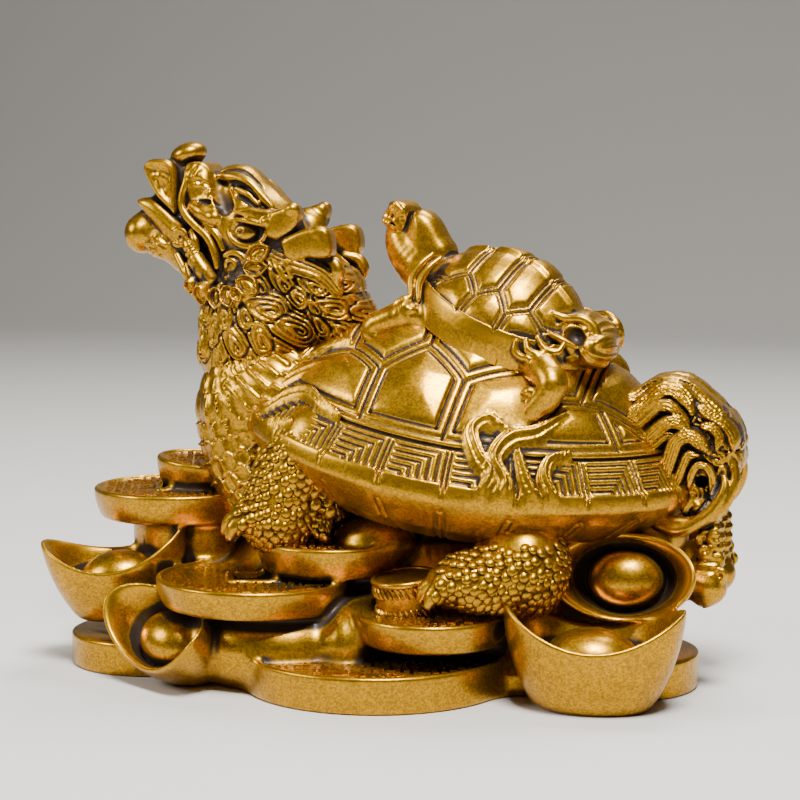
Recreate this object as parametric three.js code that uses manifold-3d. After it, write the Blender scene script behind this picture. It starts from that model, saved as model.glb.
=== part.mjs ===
// A cast dragon turtle that carries a young turtle and stands on a heap of coins and ingots.
// Millimetres, +Z up, +X towards the tail, -Y towards the figure's left flank.
// The origin is in the middle of the flat underside. The whole figure is one casting.

import * as THREE from "three";
import { mergeVertices } from "three/addons/utils/BufferGeometryUtils.js";
import Module from "manifold-3d";

const wasm = await Module();
wasm.setup();

// Driving sizes

const HEAP = { length: 126, width: 72, height: 34, shift: 6 };

const COIN = { rimWidth: 1.9, sunk: 0.9, holeShare: 0.42, frame: 1.3, facet: 11 };

const INGOT = { widthShare: 0.62, heightShare: 0.4, riseShare: 0.2, lipShare: 0.08, ballShare: 0.2, facets: 12 };

const SHELL = {
  length: 105,
  width: 75,
  height: 32.5,
  belly: 16,
  sag: 6.5,
  pitch: 9,
  yaw: 0,
  centre: [16, 0, 50.5],
  plateHeight: 1,
  plateGap: 1.4,
  rimShare: 0.84,
  joints: [[-0.48, 0.42], [-0.15, 0.49], [0.25, 0.5], [0.5, 0.487]],
  crests: [[-0.655, 0.33], [-0.33, 0.59], [0.035, 0.645], [0.43, 0.545], [0.573, 0.43]],
  seams: [0, 3, 5, 6, 8, 9],
  rimCorners: [12, 29, 45, 62, 78, 92, 110, 126, 142, 159],
  marginalHeight: 0.7,
  lip: 2,
};

const YOUNG = {
  length: 45,
  width: 35,
  height: 15,
  belly: 8.5,
  sag: 3,
  pitch: 23,
  yaw: -14,
  centre: [25.5, -3.5, 79.5],
  plateHeight: 0.6,
  plateGap: 0.6,
  rimShare: 0.9,
  joints: [[-0.36, 0.34], [0.02, 0.44], [0.38, 0.4]],
  crests: [[-0.54, 0.4], [-0.165, 0.57], [0.207, 0.6], [0.55, 0.42]],
  seams: [0, 2, 4, 6],
  rimCorners: [13, 39, 64, 82, 103, 128, 167],
  marginalHeight: 0.3,
  lip: 4.5,
};

const LEG = { radius: 9, footLength: 18, footWidth: 15, footHeight: 12, toe: 2, claw: 4 };

const NECK = { radius: 12, maneRadius: 17, lockRadius: 5.2, lockRise: 3.2, rows: 3, locksPerRow: 5 };
const MANE_WRAP = 1.4;

const TAIL = { locks: 5, lockRadius: 3.6, reach: 18.5, spread: 13 };

// Small helpers

const rad = THREE.MathUtils.degToRad;
const lerp = THREE.MathUtils.lerp;
const vec = (x, y, z) => new THREE.Vector3(x, y, z);

// A closed three.js geometry as a solid. Geometries made by a mirroring step are turned right side out.
function toSolid(geometry) {
  const bare = geometry.index ? geometry.toNonIndexed() : geometry.clone();
  bare.deleteAttribute("normal");
  bare.deleteAttribute("uv");
  const merged = mergeVertices(bare, 1e-4);
  const corners = [];
  const index = merged.index.array;
  for (let i = 0; i < index.length; i += 3) {
    const [a, b, c] = [index[i], index[i + 1], index[i + 2]];
    if (a !== b && b !== c && c !== a) corners.push(a, b, c);
  }
  const made = new wasm.Manifold(
    new wasm.Mesh({
      numProp: 3,
      vertProperties: merged.attributes.position.array,
      triVerts: new Uint32Array(corners),
    }),
  );
  return made;
}

function fuse(geometries) {
  return wasm.Manifold.union(geometries.map(toSolid));
}

// Moves every vertex of a geometry by a rule.
function reshape(geometry, rule) {
  const position = geometry.attributes.position;
  const point = new THREE.Vector3();
  for (let i = 0; i < position.count; i++) {
    point.fromBufferAttribute(position, i);
    rule(point);
    position.setXYZ(i, point.x, point.y, point.z);
  }
  return geometry;
}

// Places a geometry: turned by roll, pitch and yaw in degrees, then moved.
function place(geometry, at, { roll = 0, pitch = 0, yaw = 0 } = {}) {
  const turn = new THREE.Euler(rad(roll), rad(pitch), rad(yaw), "ZYX");
  return geometry.applyMatrix4(new THREE.Matrix4().makeRotationFromEuler(turn)).translate(...at);
}

// An ellipsoid.
function bead(at, radii, turn = {}, columns = 10, rows = 6) {
  const ball = new THREE.SphereGeometry(1, columns, rows).rotateX(Math.PI / 2);
  return place(ball.scale(...radii), at, turn);
}

// A profile of [radius, height] pairs spun about the Z axis.
function spun(profile, segments) {
  return new THREE.LatheGeometry(profile.map(([x, y]) => new THREE.Vector2(x, y)), segments).rotateX(Math.PI / 2);
}

// A tapered tube along a smooth path. Radii are spread evenly over the path, and wide stretches it across.
function limb(path, radii, { sides = 7, steps = 6, wide = 1, across = [0, 1, 0] } = {}) {
  const curve = new THREE.CatmullRomCurve3(path.map((p) => vec(...p)));
  const tube = new THREE.CylinderGeometry(1, 1, 1, sides, steps);
  return reshape(tube, (p) => {
    const t = p.y + 0.5;
    const where = t * (radii.length - 1);
    const low = Math.min(Math.floor(where), radii.length - 2);
    const radius = lerp(radii[low], radii[low + 1], where - low);
    const tangent = curve.getTangent(t);
    const side = vec(...across).addScaledVector(tangent, -vec(...across).dot(tangent)).normalize();
    const over = new THREE.Vector3().crossVectors(tangent, side);
    const [a, b] = [p.x * radius, p.z * radius * wide];
    p.copy(curve.getPoint(t)).addScaledVector(over, a).addScaledVector(side, b);
  });
}

// Coins and ingots

// A place in the heap: x and y from -1 to 1 in the mound's outline, and a height in millimetres.
const onHeap = ([x, y, z]) => [(x * HEAP.length) / 2, (y * HEAP.width) / 2, z];

// A cash coin that lies flat, with its top face at z = 0. A covered one is a plain disc, a rim has a sunken
// field inside it, and a hole is square, with a raised frame.
function coin({ spot, radius, thick, pitch = 0, roll = 0, yaw = 20, face = "rim" }) {
  const at = onHeap(spot);
  const { rimWidth, sunk, holeShare, frame, facet } = COIN;
  const inner = radius - rimWidth;
  const top = face === "covered" ? [[0, 0]] : [[inner, 0], [inner - sunk / 2, -sunk], [0, -sunk]];
  const profile = [[0, -thick], [radius, -thick], [radius, 0], ...top];
  const segments = Math.max(11, Math.round((2 * Math.PI * radius) / facet));
  const disc = spun(profile, segments);
  const turn = { pitch, roll, yaw };
  if (face !== "hole") return toSolid(place(disc, at, turn));
  const hole = radius * holeShare;
  const raised = new THREE.BoxGeometry(hole + 2 * frame, hole + 2 * frame, thick);
  const well = new THREE.BoxGeometry(hole, hole, 3 * sunk);
  const solid = fuse([place(disc, at, turn), place(raised.translate(0, 0, -sunk / 4 - thick / 2), at, turn)]);
  return solid.subtract(toSolid(place(well, at, turn)));
}

// A boat-shaped ingot with a ball in its hollow. Its foot is at z = 0.
function ingot({ spot, length, yaw = 0, pitch = 0, roll = 0 }) {
  const at = onHeap(spot);
  const { widthShare, heightShare, riseShare, lipShare, ballShare, facets } = INGOT;
  const [width, height, rise] = [length * widthShare, length * heightShare, length * riseShare];
  const profile = [
    [0, 0],
    [0.72, 0],
    [1, 1],
    [1 - lipShare, 1],
    [0.66, 0.62],
    [0, 0.56],
  ];
  const hull = spun(profile, facets);
  reshape(hull, (p) => {
    const lift = rise * p.x * p.x * p.z;
    p.set((p.x * length) / 2, (p.y * width) / 2, p.z * height + lift);
  });
  const size = length * ballShare;
  const ball = bead([0, 0, height * 0.64], [size * 1.15, size, size], {}, 6, 3);
  const turn = { pitch, roll, yaw };
  return fuse([place(hull, at, turn), place(ball, at, turn)]);
}

// The mound that fills the middle of the heap.
function mound() {
  const profile = [
    [0, 0],
    [1, 0],
    [1, 0.14],
    [0.82, 0.5],
    [0.6, 0.9],
    [0, 1],
  ];
  return spun(profile, 12)
    .scale(HEAP.length / 2, HEAP.width / 2, HEAP.height)
    .translate(0, HEAP.shift, 0);
}

function heap() {
  const coins = [
    { spot: [0, -0.542, 8], radius: 29.5, thick: 8, face: "hole" },
    { spot: [-0.889, -0.278, 7.5], radius: 18.5, thick: 7.5, face: "covered" },
    { spot: [0.794, -0.167, 8], radius: 18.5, thick: 8, face: "covered" },
    { spot: [-0.032, 0.806, 17], radius: 16, thick: 6.5, roll: -4 },
    { spot: [-0.429, -0.639, 23.4], radius: 21.5, thick: 6.5, pitch: 1, face: "hole" },
    { spot: [0.222, -0.722, 18], radius: 16.5, thick: 6.5 },
    { spot: [-0.183, -0.389, 31], radius: 17, thick: 7, face: "covered" },
    { spot: [-0.849, 0.056, 39], radius: 20, thick: 7, face: "hole" },
    { spot: [-0.77, 0.167, 45], radius: 11.5, thick: 7, pitch: 5, roll: 3 },
    { spot: [-0.063, 0.639, 8], radius: 27, thick: 8, face: "covered" },
    { spot: [-0.794, 0.111, 33], radius: 15, thick: 31, face: "covered" },
  ];
  const ingots = [
    { spot: [-0.976, -0.361, 11], length: 33, yaw: 12, pitch: -7, roll: 8 },
    { spot: [-0.651, -0.694, 4], length: 31, yaw: -32, pitch: 12, roll: 48 },
    { spot: [0.778, -0.819, 0], length: 38, yaw: 4, pitch: 2, roll: 4 },
    { spot: [0.857, -0.194, 25], length: 31, yaw: 3, pitch: 0, roll: 74 },
    { spot: [0.937, 0.222, 15], length: 32, yaw: 48, pitch: -8, roll: -12 },
    { spot: [-0.698, 0.778, 2], length: 36, yaw: 34, pitch: 4, roll: -16 },
    { spot: [0.587, 0.861, 1], length: 38, yaw: -18, pitch: -4, roll: -14 },
  ];
  const stack = new THREE.CylinderGeometry(5, 5.6, 9, 8).rotateX(Math.PI / 2);
  const bulges = [
    bead(onHeap([-0.429, -0.5, 12]), [19, 18, 9], {}, 9, 4),
    bead(onHeap([-0.016, -0.472, 31]), [9, 7, 5.5], {}, 7, 4),
  ];
  return [
    toSolid(mound()),
    ...coins.map(coin),
    ...ingots.map(ingot),
    toSolid(place(stack, onHeap([0.135, -0.681, 22.5]), { roll: 8, pitch: -6 })),
    ...bulges.map(toSolid),
  ];
}

// Shells

// A point on a shell, for x and y from -1 to 1 in its outline, lifted along the surface normal.
function shellPoint(shell, x, y, lift = 0) {
  const at = (u, v) => {
    const inside = Math.max(0, 1 - u * u - v * v);
    return vec((u * shell.length) / 2, (v * shell.width) / 2, shell.height * inside ** 0.9 - shell.sag * v * v);
  };
  const step = 0.01;
  const [u, v] = [x * 0.985, y * 0.985];
  const alongX = at(u + step, v).sub(at(u - step, v));
  const alongY = at(u, v + step).sub(at(u, v - step));
  const normal = new THREE.Vector3().crossVectors(alongX, alongY).normalize();
  return at(x, y).addScaledVector(normal, lift);
}

function placeShell(shell, geometry) {
  return place(geometry, shell.centre, { pitch: shell.pitch, yaw: shell.yaw });
}

// A whole shell as one closed surface: plates raised between sunk seams above the rim, a smooth belly below it.
// Plates run along the spine, down both flanks and round the rim. Seams count rim corners from the head.
function tiledShell(shell) {
  const { rimShare, joints, crests, seams, rimCorners, plateHeight, plateGap } = shell;
  const marginals = 2 * rimCorners.length;
  const points = [];
  const faces = [];
  const known = new Map();
  const add = (point) => points.push(point) - 1;
  const corner = ([x, y]) => {
    const key = `${x.toFixed(4)} ${y.toFixed(4)}`;
    if (!known.has(key)) known.set(key, add(shellPoint(shell, x, y)));
    return known.get(key);
  };
  const last = rimCorners.length - 1;
  // Rim corners are numbered round the rim, first down the right flank, then back up the left one.
  const ringAngle = (k) => {
    const i = k % marginals;
    return i > last ? rad(rimCorners[marginals - 1 - i]) - Math.PI : Math.PI - rad(rimCorners[i]);
  };
  const onRing = (k, share) => [Math.cos(ringAngle(k)) * share, Math.sin(ringAngle(k)) * share];
  const between = ([ax, ay], [bx, by], share) => [lerp(ax, bx, share), lerp(ay, by, share)];

  const tile = (outline, height) => {
    const total = outline.reduce(([sx, sy], [x, y]) => [sx + x, sy + y], [0, 0]);
    const middle = total.map((sum) => sum / outline.length);
    const away = outline.map(([x, y]) => Math.hypot((x - middle[0]) * shell.length, (y - middle[1]) * shell.width) / 2);
    const keep = 1 - plateGap / Math.min(...away);
    const outer = outline.map(corner);
    const inner = outline.map((place) => add(shellPoint(shell, ...between(middle, place, keep), height)));
    const peak = add(shellPoint(shell, ...middle, height * 1.2));
    outer.forEach((from, i) => {
      const next = (i + 1) % outer.length;
      faces.push(from, outer[next], inner[next], from, inner[next], inner[i], inner[i], inner[next], peak);
    });
  };
  // From the head to the tail: a joint of two spine plates, then the outer corner of one, in turn.
  const zigzag = [onRing(0, rimShare), ...crests.flatMap((crest, i) => [crest, joints[i] ?? onRing(last, rimShare)])];
  const mirror = ([x, y]) => [x, -y];
  crests.forEach((_, i) => {
    const half = zigzag.slice(2 * i, 2 * i + 3).reverse();
    tile([...half, ...half.map(mirror).reverse()], plateHeight);
  });
  const seamMiddle = (i) => between(crests[i], onRing(seams[i], rimShare), 0.5);
  for (let i = 0; i < seams.length - 1; i++) {
    const [isFirst, isLast] = [i === 0, i === seams.length - 2];
    const top = zigzag.slice(isFirst ? 0 : 2 * i + 1, isLast ? zigzag.length : 2 * i + 4).reverse();
    const low = [];
    for (let k = seams[i] + (isFirst ? 1 : 0); k <= seams[i + 1] - (isLast ? 1 : 0); k++) low.push(onRing(k, rimShare));
    const outline = [...top, ...(isFirst ? [] : [seamMiddle(i)]), ...low, ...(isLast ? [] : [seamMiddle(i + 1)])];
    tile([...outline].reverse(), plateHeight);
    tile(outline.map(mirror), plateHeight);
  }
  for (let k = 0; k < marginals; k++) {
    tile([onRing(k, rimShare), onRing(k, 1), onRing(k + 1, 1), onRing(k + 1, rimShare)].reverse(), shell.marginalHeight);
  }

  const under = [[1, shell.lip], [0.84, shell.belly * 0.62], [0.5, shell.belly]];
  let upper = Array.from({ length: marginals }, (_, k) => corner(onRing(k, 1)));
  for (const [share, depth] of under) {
    const lower = upper.map((_, k) => {
      const [x, y] = onRing(k, share);
      return add(vec((x * shell.length) / 2, (y * shell.width) / 2, -depth - shell.sag * y * y));
    });
    upper.forEach((from, k) => {
      const next = (k + 1) % marginals;
      faces.push(from, lower[next], lower[k], from, upper[next], lower[next]);
    });
    upper = lower;
  }
  const keel = add(vec(0, 0, -shell.belly));
  upper.forEach((from, k) => faces.push(from, upper[(k + 1) % marginals], keel));
  const geometry = new THREE.BufferGeometry().setFromPoints(points);
  return placeShell(shell, geometry.setIndex(faces));
}

// The grown turtle's shell, limbs and neck

const both = (make) => [-1, 1].flatMap(make);

function dragonShell() {
  return [tiledShell(SHELL)];
}

// A foot with three clawed toes. It points towards the head, turned outwards by its heading.
function foot(at, heading, side) {
  const { footLength, footWidth, footHeight, toe, claw } = LEG;
  const made = [bead(at, [footLength / 2, footWidth / 2, footHeight / 2], { yaw: -heading * side }, 6, 4)];
  for (const spread of [-36, 0, 36]) {
    const angle = rad(180 - heading + spread) * side;
    const [dx, dy] = [Math.cos(angle), Math.sin(angle)];
    const out = footLength * 0.33;
    const knuckle = [at[0] + dx * out, at[1] + dy * out, at[2] - 1];
    const tip = [knuckle[0] + dx * (toe + claw), knuckle[1] + dy * (toe + claw), knuckle[2] - toe];
    made.push(limb([knuckle, tip], [toe * 1.2, 0.7], { sides: 3, steps: 1 }));
  }
  return made;
}

function legs() {
  const { radius } = LEG;
  return both((side) => [
    limb([[-13, 19 * side, 52], [-19, 21 * side, 43], [-21, 22.5 * side, 35]], [radius * 1.15, radius, radius * 0.9], {
      sides: 6,
      steps: 2,
    }),
    ...foot([-22, 22.5 * side, 37], 8, side),
    bead([37, 25 * side, 29], [12, 9.5, 12], { yaw: 12 * side }, 7, 4),
    limb([[38, 26 * side, 28], [25, 31 * side, 25]], [radius, radius * 0.8], { sides: 6, steps: 1 }),
    ...foot([23.5, 31 * side, 25], 8, side),
  ]);
}

function neck() {
  const { radius } = NECK;
  const chest = limb([[-20, 0, 34], [-31, 0, 44], [-36, 0, 58], [-36, 0, 74]], [14, 12.5, 11.5, 11], {
    sides: 9,
    steps: 4,
    wide: 1.45,
  });
  const throat = limb([[-14, 0, 54], [-28, 0, 62], [-33, 0, 76], [-35, 0, 95]], [radius * 1.4, radius * 1.3, radius, radius * 0.8], {
    sides: 10,
    steps: 4,
    wide: 1.2,
  });
  return [chest, throat];
}

// A snail-shaped lock of hair on a surface with the given outward normal.
function curl(at, outward, size, rise) {
  const profile = [[0, -size], [size, 0], [size * 0.7, rise * 0.8], [0, rise * 0.4]];
  const turn = new THREE.Quaternion().setFromUnitVectors(vec(0, 0, 1), vec(...outward).normalize());
  return spun(profile, 6).applyQuaternion(turn).translate(...at);
}

function mane() {
  const { maneRadius, lockRadius, lockRise, rows, locksPerRow } = NECK;
  const foot = [-33, 0, 63];
  const crown = [-30, 0, 90];
  const made = [
    limb([foot, [-31.5, 0, 76.5], crown], [maneRadius * 0.8, maneRadius, maneRadius * 0.85], {
      sides: 9,
      steps: 3,
    }),
  ];
  for (let row = 0; row < rows; row++) {
    const share = row / (rows - 1);
    const reach = maneRadius * (0.84 + 0.16 * Math.sin(share * Math.PI));
    for (let k = 0; k < locksPerRow; k++) {
      const angle = Math.PI * (1 + MANE_WRAP * ((k + 0.5) / locksPerRow - 0.5));
      const [dx, dy] = [Math.cos(angle), Math.sin(angle)];
      const at = [lerp(foot[0], crown[0], share) + dx * reach, dy * reach, lerp(foot[2] + 2, crown[2] - 3, share) + 2 * dx];
      made.push(curl(at, [dx, dy, 0.3 * (share - 0.5)], lockRadius, lockRise));
    }
  }
  return made;
}

// The dragon head, lifted and with its mouth open

function jaws() {
  return [
    bead([-35, 0, 98], [12, 10.5, 10], { pitch: 36 }, 8, 6),
    limb([[-36, 0, 100], [-44, 0, 105.5], [-51.5, 0, 109]], [9.5, 7.6, 5.2], { sides: 7, steps: 2 }),
    bead([-50, 0, 114.8], [4.4, 3.6, 3.2], { pitch: 30 }, 6, 4),
    limb([[-49, 0, 107], [-49.5, 0, 113.5]], [4.2, 2.8], { sides: 6, steps: 1 }),
    limb([[-36, 0, 90], [-48, 0, 92], [-57, 0, 96.5], [-62, 0, 102]], [9, 6.2, 5, 2.6], { sides: 7, steps: 3, wide: 1.15 }),
    bead([-62, 0, 97.5], [4.6, 6.2, 5], {}, 7, 4),
    limb([[-44, 0, 96], [-53, 0, 98.5], [-63, 0, 105]], [3, 2.6, 1.1], { sides: 6, steps: 2, wide: 1.9 }),
  ];
}

function cheeks() {
  return both((side) => [
    bead([-54.2, 5 * side, 107.6], [8.8, 1.9, 4.4], { pitch: 38, yaw: -10 * side }, 7, 4),
    limb(
      [[-51.5, 6 * side, 112], [-50.5, 8.4 * side, 105], [-48, 8.8 * side, 98.5], [-42, 9.6 * side, 92.5]],
      [1, 1.7, 1.7, 1.4],
      { sides: 4, steps: 4 },
    ),
    bead([-44.5, 7 * side, 105], [4.6, 3, 3.2], { pitch: 25 }, 6, 3),
    bead([-35.5, 9 * side, 99], [3.2, 2.6, 2.8], {}, 6, 4),
    limb([[-40, 8 * side, 102], [-33, 10.5 * side, 103.5], [-25, 10.5 * side, 103.5]], [1.4, 2.2, 2.8], { sides: 4, steps: 2 }),
    curl([-38, 10 * side, 91.5], [-0.3, side, 0], 4.6, 2.4),
    bead([-43.5, 10 * side, 86], [4.6, 2.6, 3.8], { pitch: 40, yaw: -20 * side }, 5, 3),
    bead([-35, 12 * side, 86.5], [4.6, 2.6, 3.8], { pitch: 40, yaw: -20 * side }, 5, 3),
  ]);
}

function horns() {
  return [
    bead([-35, 0, 108.5], [8.5, 6, 4.6], { pitch: 30 }, 7, 4),
    ...both((side) => [
      bead([-33.5, 5 * side, 106.5], [7.5, 4.4, 5], { pitch: 32 }, 7, 4),
      limb([[-30, 6 * side, 100], [-24, 9 * side, 102], [-19, 11 * side, 104.5]], [5.4, 4, 1.8], { sides: 5, steps: 2 }),
      limb([[-29, 7 * side, 96], [-20, 11 * side, 96.5], [-12.5, 12.5 * side, 99.5]], [6, 5, 1.9], { sides: 5, steps: 2 }),
      limb(
        [[-24, 10 * side, 94], [-15, 12.5 * side, 93.5], [-11, 12.5 * side, 89.5], [-14.5, 12 * side, 85]],
        [3, 2.8, 2.4, 1],
        { sides: 4, steps: 3 },
      ),
    ]),
  ];
}

// The tail plume, and one long strand of it on each flank

function tail() {
  const { locks, lockRadius, reach, spread } = TAIL;
  const root = [SHELL.centre[0] + SHELL.length / 2, 0, SHELL.centre[2]];
  const made = [
    limb([[-18, 0, -4], [-6, 0, 2], [3, 0, -3]].map((p) => vec(...p).add(vec(...root)).toArray()), [11, 10, 6], {
      sides: 8,
      steps: 3,
      wide: 1.3,
    }),
  ];
  for (let i = 0; i < locks; i++) {
    const share = i / (locks - 1);
    const arch = Math.cos((share - 0.5) * Math.PI);
    const [odd, third] = [i % 2, i % 3];
    const y = lerp(-spread, spread, share);
    const path = [
      [-19 + 4 * arch, y * 0.6, 7 + 5 * arch],
      [-8 + 3 * odd, y * 1.05, 6.5 + 8 * arch],
      [reach - 16 + 3 * arch - 4 * odd, y * 1.1, 6 * arch - 3 - 3 * third],
      [reach - 14.5 + 3 * arch - 4 * odd, y * 1.1 + 4 * (share - 0.5), 6 * arch + 2 - 3 * third],
    ];
    const placed = path.map((p) => vec(...p).add(vec(...root)).toArray());
    made.push(limb(placed, [1.6, lockRadius, lockRadius, 1], { sides: 4, steps: 3 }));
  }
  for (const side of [-1, 1]) {
    const strand = [[-13, 14 * side, -13], [-4, 12 * side, -13], [5, 9 * side, -7], [6, 7 * side, 2]];
    const placed = strand.map((p) => vec(...p).add(vec(...root)).toArray());
    made.push(limb(placed, [2, 2.6, 2.4, 1.2], { sides: 5, steps: 3 }));
  }
  return made;
}

// A flat ribbon that waves over a shell from one place in its outline to another.
function ribbon(shell, from, to, wave, width) {
  const steps = 5;
  const path = Array.from({ length: steps + 1 }, (_, i) => {
    const share = i / steps;
    const swing = wave * Math.sin(share * Math.PI * 2);
    return shellPoint(shell, lerp(from[0], to[0], share) + swing, lerp(from[1], to[1], share), 0.7).toArray();
  });
  const strap = limb(path, [width * 0.5, width, width * 0.8, width * 0.4], { sides: 4, steps: 4, across: [1, 0, 0] });
  return placeShell(shell, strap);
}

function ribbons() {
  return [
    ribbon(SHELL, [0.5, -0.55], [0.12, -0.975], 0.05, 2.2),
    ribbon(SHELL, [0.6, -0.62], [0.28, -0.945], 0.05, 2.2),
    ribbon(SHELL, [-0.95, -0.2], [-0.62, -0.62], 0.04, 2.6),
    ribbon(SHELL, [-0.95, 0.2], [-0.62, 0.62], 0.04, 2.6),
  ];
}

// The young turtle on the shell

function youngTurtle() {
  const turned = new THREE.Euler(0, rad(YOUNG.pitch), rad(YOUNG.yaw), "ZYX");
  const onShell = (point) => vec(...point).applyEuler(turned).add(vec(...YOUNG.centre)).toArray();
  const headTurn = { pitch: YOUNG.pitch + 8, yaw: YOUNG.yaw };
  return [
    tiledShell(YOUNG),
    limb([[-16, 0, 1], [-22, 0, 4.5], [-27, 0, 8.5], [-30.5, 0, 10.5]].map(onShell), [6.4, 5.4, 4.3, 3.6], { sides: 6, steps: 3 }),
    bead(onShell([-32, 0, 11]), [5.2, 4, 4], headTurn, 7, 4),
    bead(onShell([-36.3, 0, 10.4]), [2.2, 2.4, 3.2], headTurn, 5, 3),
    limb([[18, 0, -1], [23, 0, -3], [24.5, 0, -7]].map(onShell), [4.4, 3, 1], { sides: 5, steps: 2 }),
    ...both((side) => [
      limb([[-12, 9 * side, -1], [-18, 13 * side, -3], [-20, 15 * side, -10]].map(onShell), [4.4, 3.8, 3], { sides: 6, steps: 2 }),
      limb([[12, 9 * side, -2], [18, 14 * side, -5], [17, 17 * side, -17]].map(onShell), [5, 4.6, 3.6], { sides: 6, steps: 2 }),
    ]),
  ];
}

// One casting. Sealed bubbles between the fused shapes are filled, and the underside is cut flat.

const gilt = new THREE.MeshStandardMaterial({ color: 0xb8901f, roughness: 0.34, metalness: 0.9 });

function casting() {
  const carved = [dragonShell(), legs(), neck(), mane(), jaws(), cheeks(), horns(), tail(), ribbons(), youngTurtle()];
  const fused = wasm.Manifold.union([...heap(), ...carved.flat().map(toSolid)]);
  const ground = new THREE.BoxGeometry(400, 400, 40).translate(0, 0, -20);
  const filled = fused.decompose().filter((body) => body.volume() > 0);
  return wasm.Manifold.union(filled).subtract(toSolid(ground));
}

const mesh = casting().getMesh();
const geometry = new THREE.BufferGeometry();
geometry.setAttribute("position", new THREE.BufferAttribute(new Float32Array(mesh.vertProperties), 3));
geometry.setIndex(new THREE.BufferAttribute(new Uint32Array(mesh.triVerts), 1));
geometry.computeVertexNormals();

const figure = new THREE.Mesh(geometry, gilt);
figure.name = "dragon_turtle_figure";

const group = new THREE.Group();
group.add(figure);

export default group;
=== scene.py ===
"""A cast dragon turtle on a heap of coins and ingots, finished in gold lacquer.

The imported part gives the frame. Each group of forms is modelled here as if in clay, on an even grid of
depths in millimetres, and becomes one closed mesh in metres.
"""

import math
from collections import namedtuple

import bpy
import numpy as np
import openvdb
from mathutils import Euler, Matrix, Vector


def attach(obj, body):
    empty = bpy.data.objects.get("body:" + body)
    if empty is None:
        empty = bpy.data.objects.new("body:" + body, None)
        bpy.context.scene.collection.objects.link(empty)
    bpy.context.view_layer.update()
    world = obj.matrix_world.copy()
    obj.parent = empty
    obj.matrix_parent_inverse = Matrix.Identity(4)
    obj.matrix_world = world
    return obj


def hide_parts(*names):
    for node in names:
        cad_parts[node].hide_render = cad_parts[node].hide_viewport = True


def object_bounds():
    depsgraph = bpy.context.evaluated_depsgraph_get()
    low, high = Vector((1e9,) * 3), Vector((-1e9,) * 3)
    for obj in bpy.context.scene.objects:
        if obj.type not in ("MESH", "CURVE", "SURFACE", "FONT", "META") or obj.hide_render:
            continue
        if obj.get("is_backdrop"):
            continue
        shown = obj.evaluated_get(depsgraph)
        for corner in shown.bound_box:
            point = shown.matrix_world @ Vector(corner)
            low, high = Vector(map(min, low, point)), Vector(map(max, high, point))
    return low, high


bl_info = {
    "name": "Gilt Dragon Turtle",
    "version": (1, 0, 0),
    "blender": (4, 5, 0),
    "location": "View3D > Sidebar > Dragon Turtle",
    "description": "Models a cast dragon turtle on coins and ingots, with its gold lacquer and stage",
    "category": "Add Mesh",
}

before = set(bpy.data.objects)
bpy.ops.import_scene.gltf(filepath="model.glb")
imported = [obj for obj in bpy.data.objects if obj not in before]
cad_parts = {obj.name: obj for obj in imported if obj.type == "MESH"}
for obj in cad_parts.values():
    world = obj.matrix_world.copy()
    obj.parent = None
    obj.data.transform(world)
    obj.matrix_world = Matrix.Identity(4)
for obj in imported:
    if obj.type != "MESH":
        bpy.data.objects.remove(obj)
CAD_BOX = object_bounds()
NODE = "dragon_turtle_figure"
MM = 0.001

# The grid's step in millimetres and the most triangles of each group's mesh
STEP = dict(heap=0.34, shell=0.26, body=0.31, head=0.25, tail=0.25, young=0.22)
MOST_FACES = dict(heap=132000, shell=199000, body=105000, head=199000, tail=120000, young=120000)
# How far round a point its hollow is felt, finely and broadly, and how far out a facing wall is felt
FINE_REACH, BROAD_REACH = 0.7, 2.4
FACING_WALLS = (1.5, 3.0, 5.0)
# How much each of the three counts towards the lacquer's painted shade
FINE_SHARE, BROAD_SHARE, WALL_SHARE = 0.6, 0.8, 0.3
# Step of the flat maps of hair
MAP_STEP = 0.15

# Soft clay on an even grid

Form = namedtuple("Form", "low high depth")


def soft_min(first, second, blend):
    """The lesser of two depths, rounded where they meet."""
    near = np.maximum(blend - np.abs(first - second), 0) / blend
    return np.minimum(first, second) - near * near * (blend / 4)


def soft_max(first, second, blend):
    return -soft_min(-first, -second, blend)


def ease(low, high, value):
    """Rises smoothly from 0 at low to 1 at high."""
    share = np.clip((value - low) / (high - low), 0, 1)
    return share * share * (3 - 2 * share)


def groove(distance, width):
    """A bell-shaped bump, 1 at no distance."""
    return np.exp(-((distance / width) ** 2))


def beside_line(x, y, start, end):
    """How far along a line each point lies, from 0 to 1, and its way from there in x and y."""
    (ax, ay), (bx, by) = start, end
    share = np.clip(((x - ax) * (bx - ax) + (y - ay) * (by - ay)) / ((bx - ax) ** 2 + (by - ay) ** 2), 0, 1)
    return share, x - ax - share * (bx - ax), y - ay - share * (by - ay)


def edge_drop(out, drop, reach):
    """How much a slab thins towards its edge. Out is the distance from its outline, below zero inside."""
    return drop * np.exp(np.minimum(out, 0) / reach)


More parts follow.
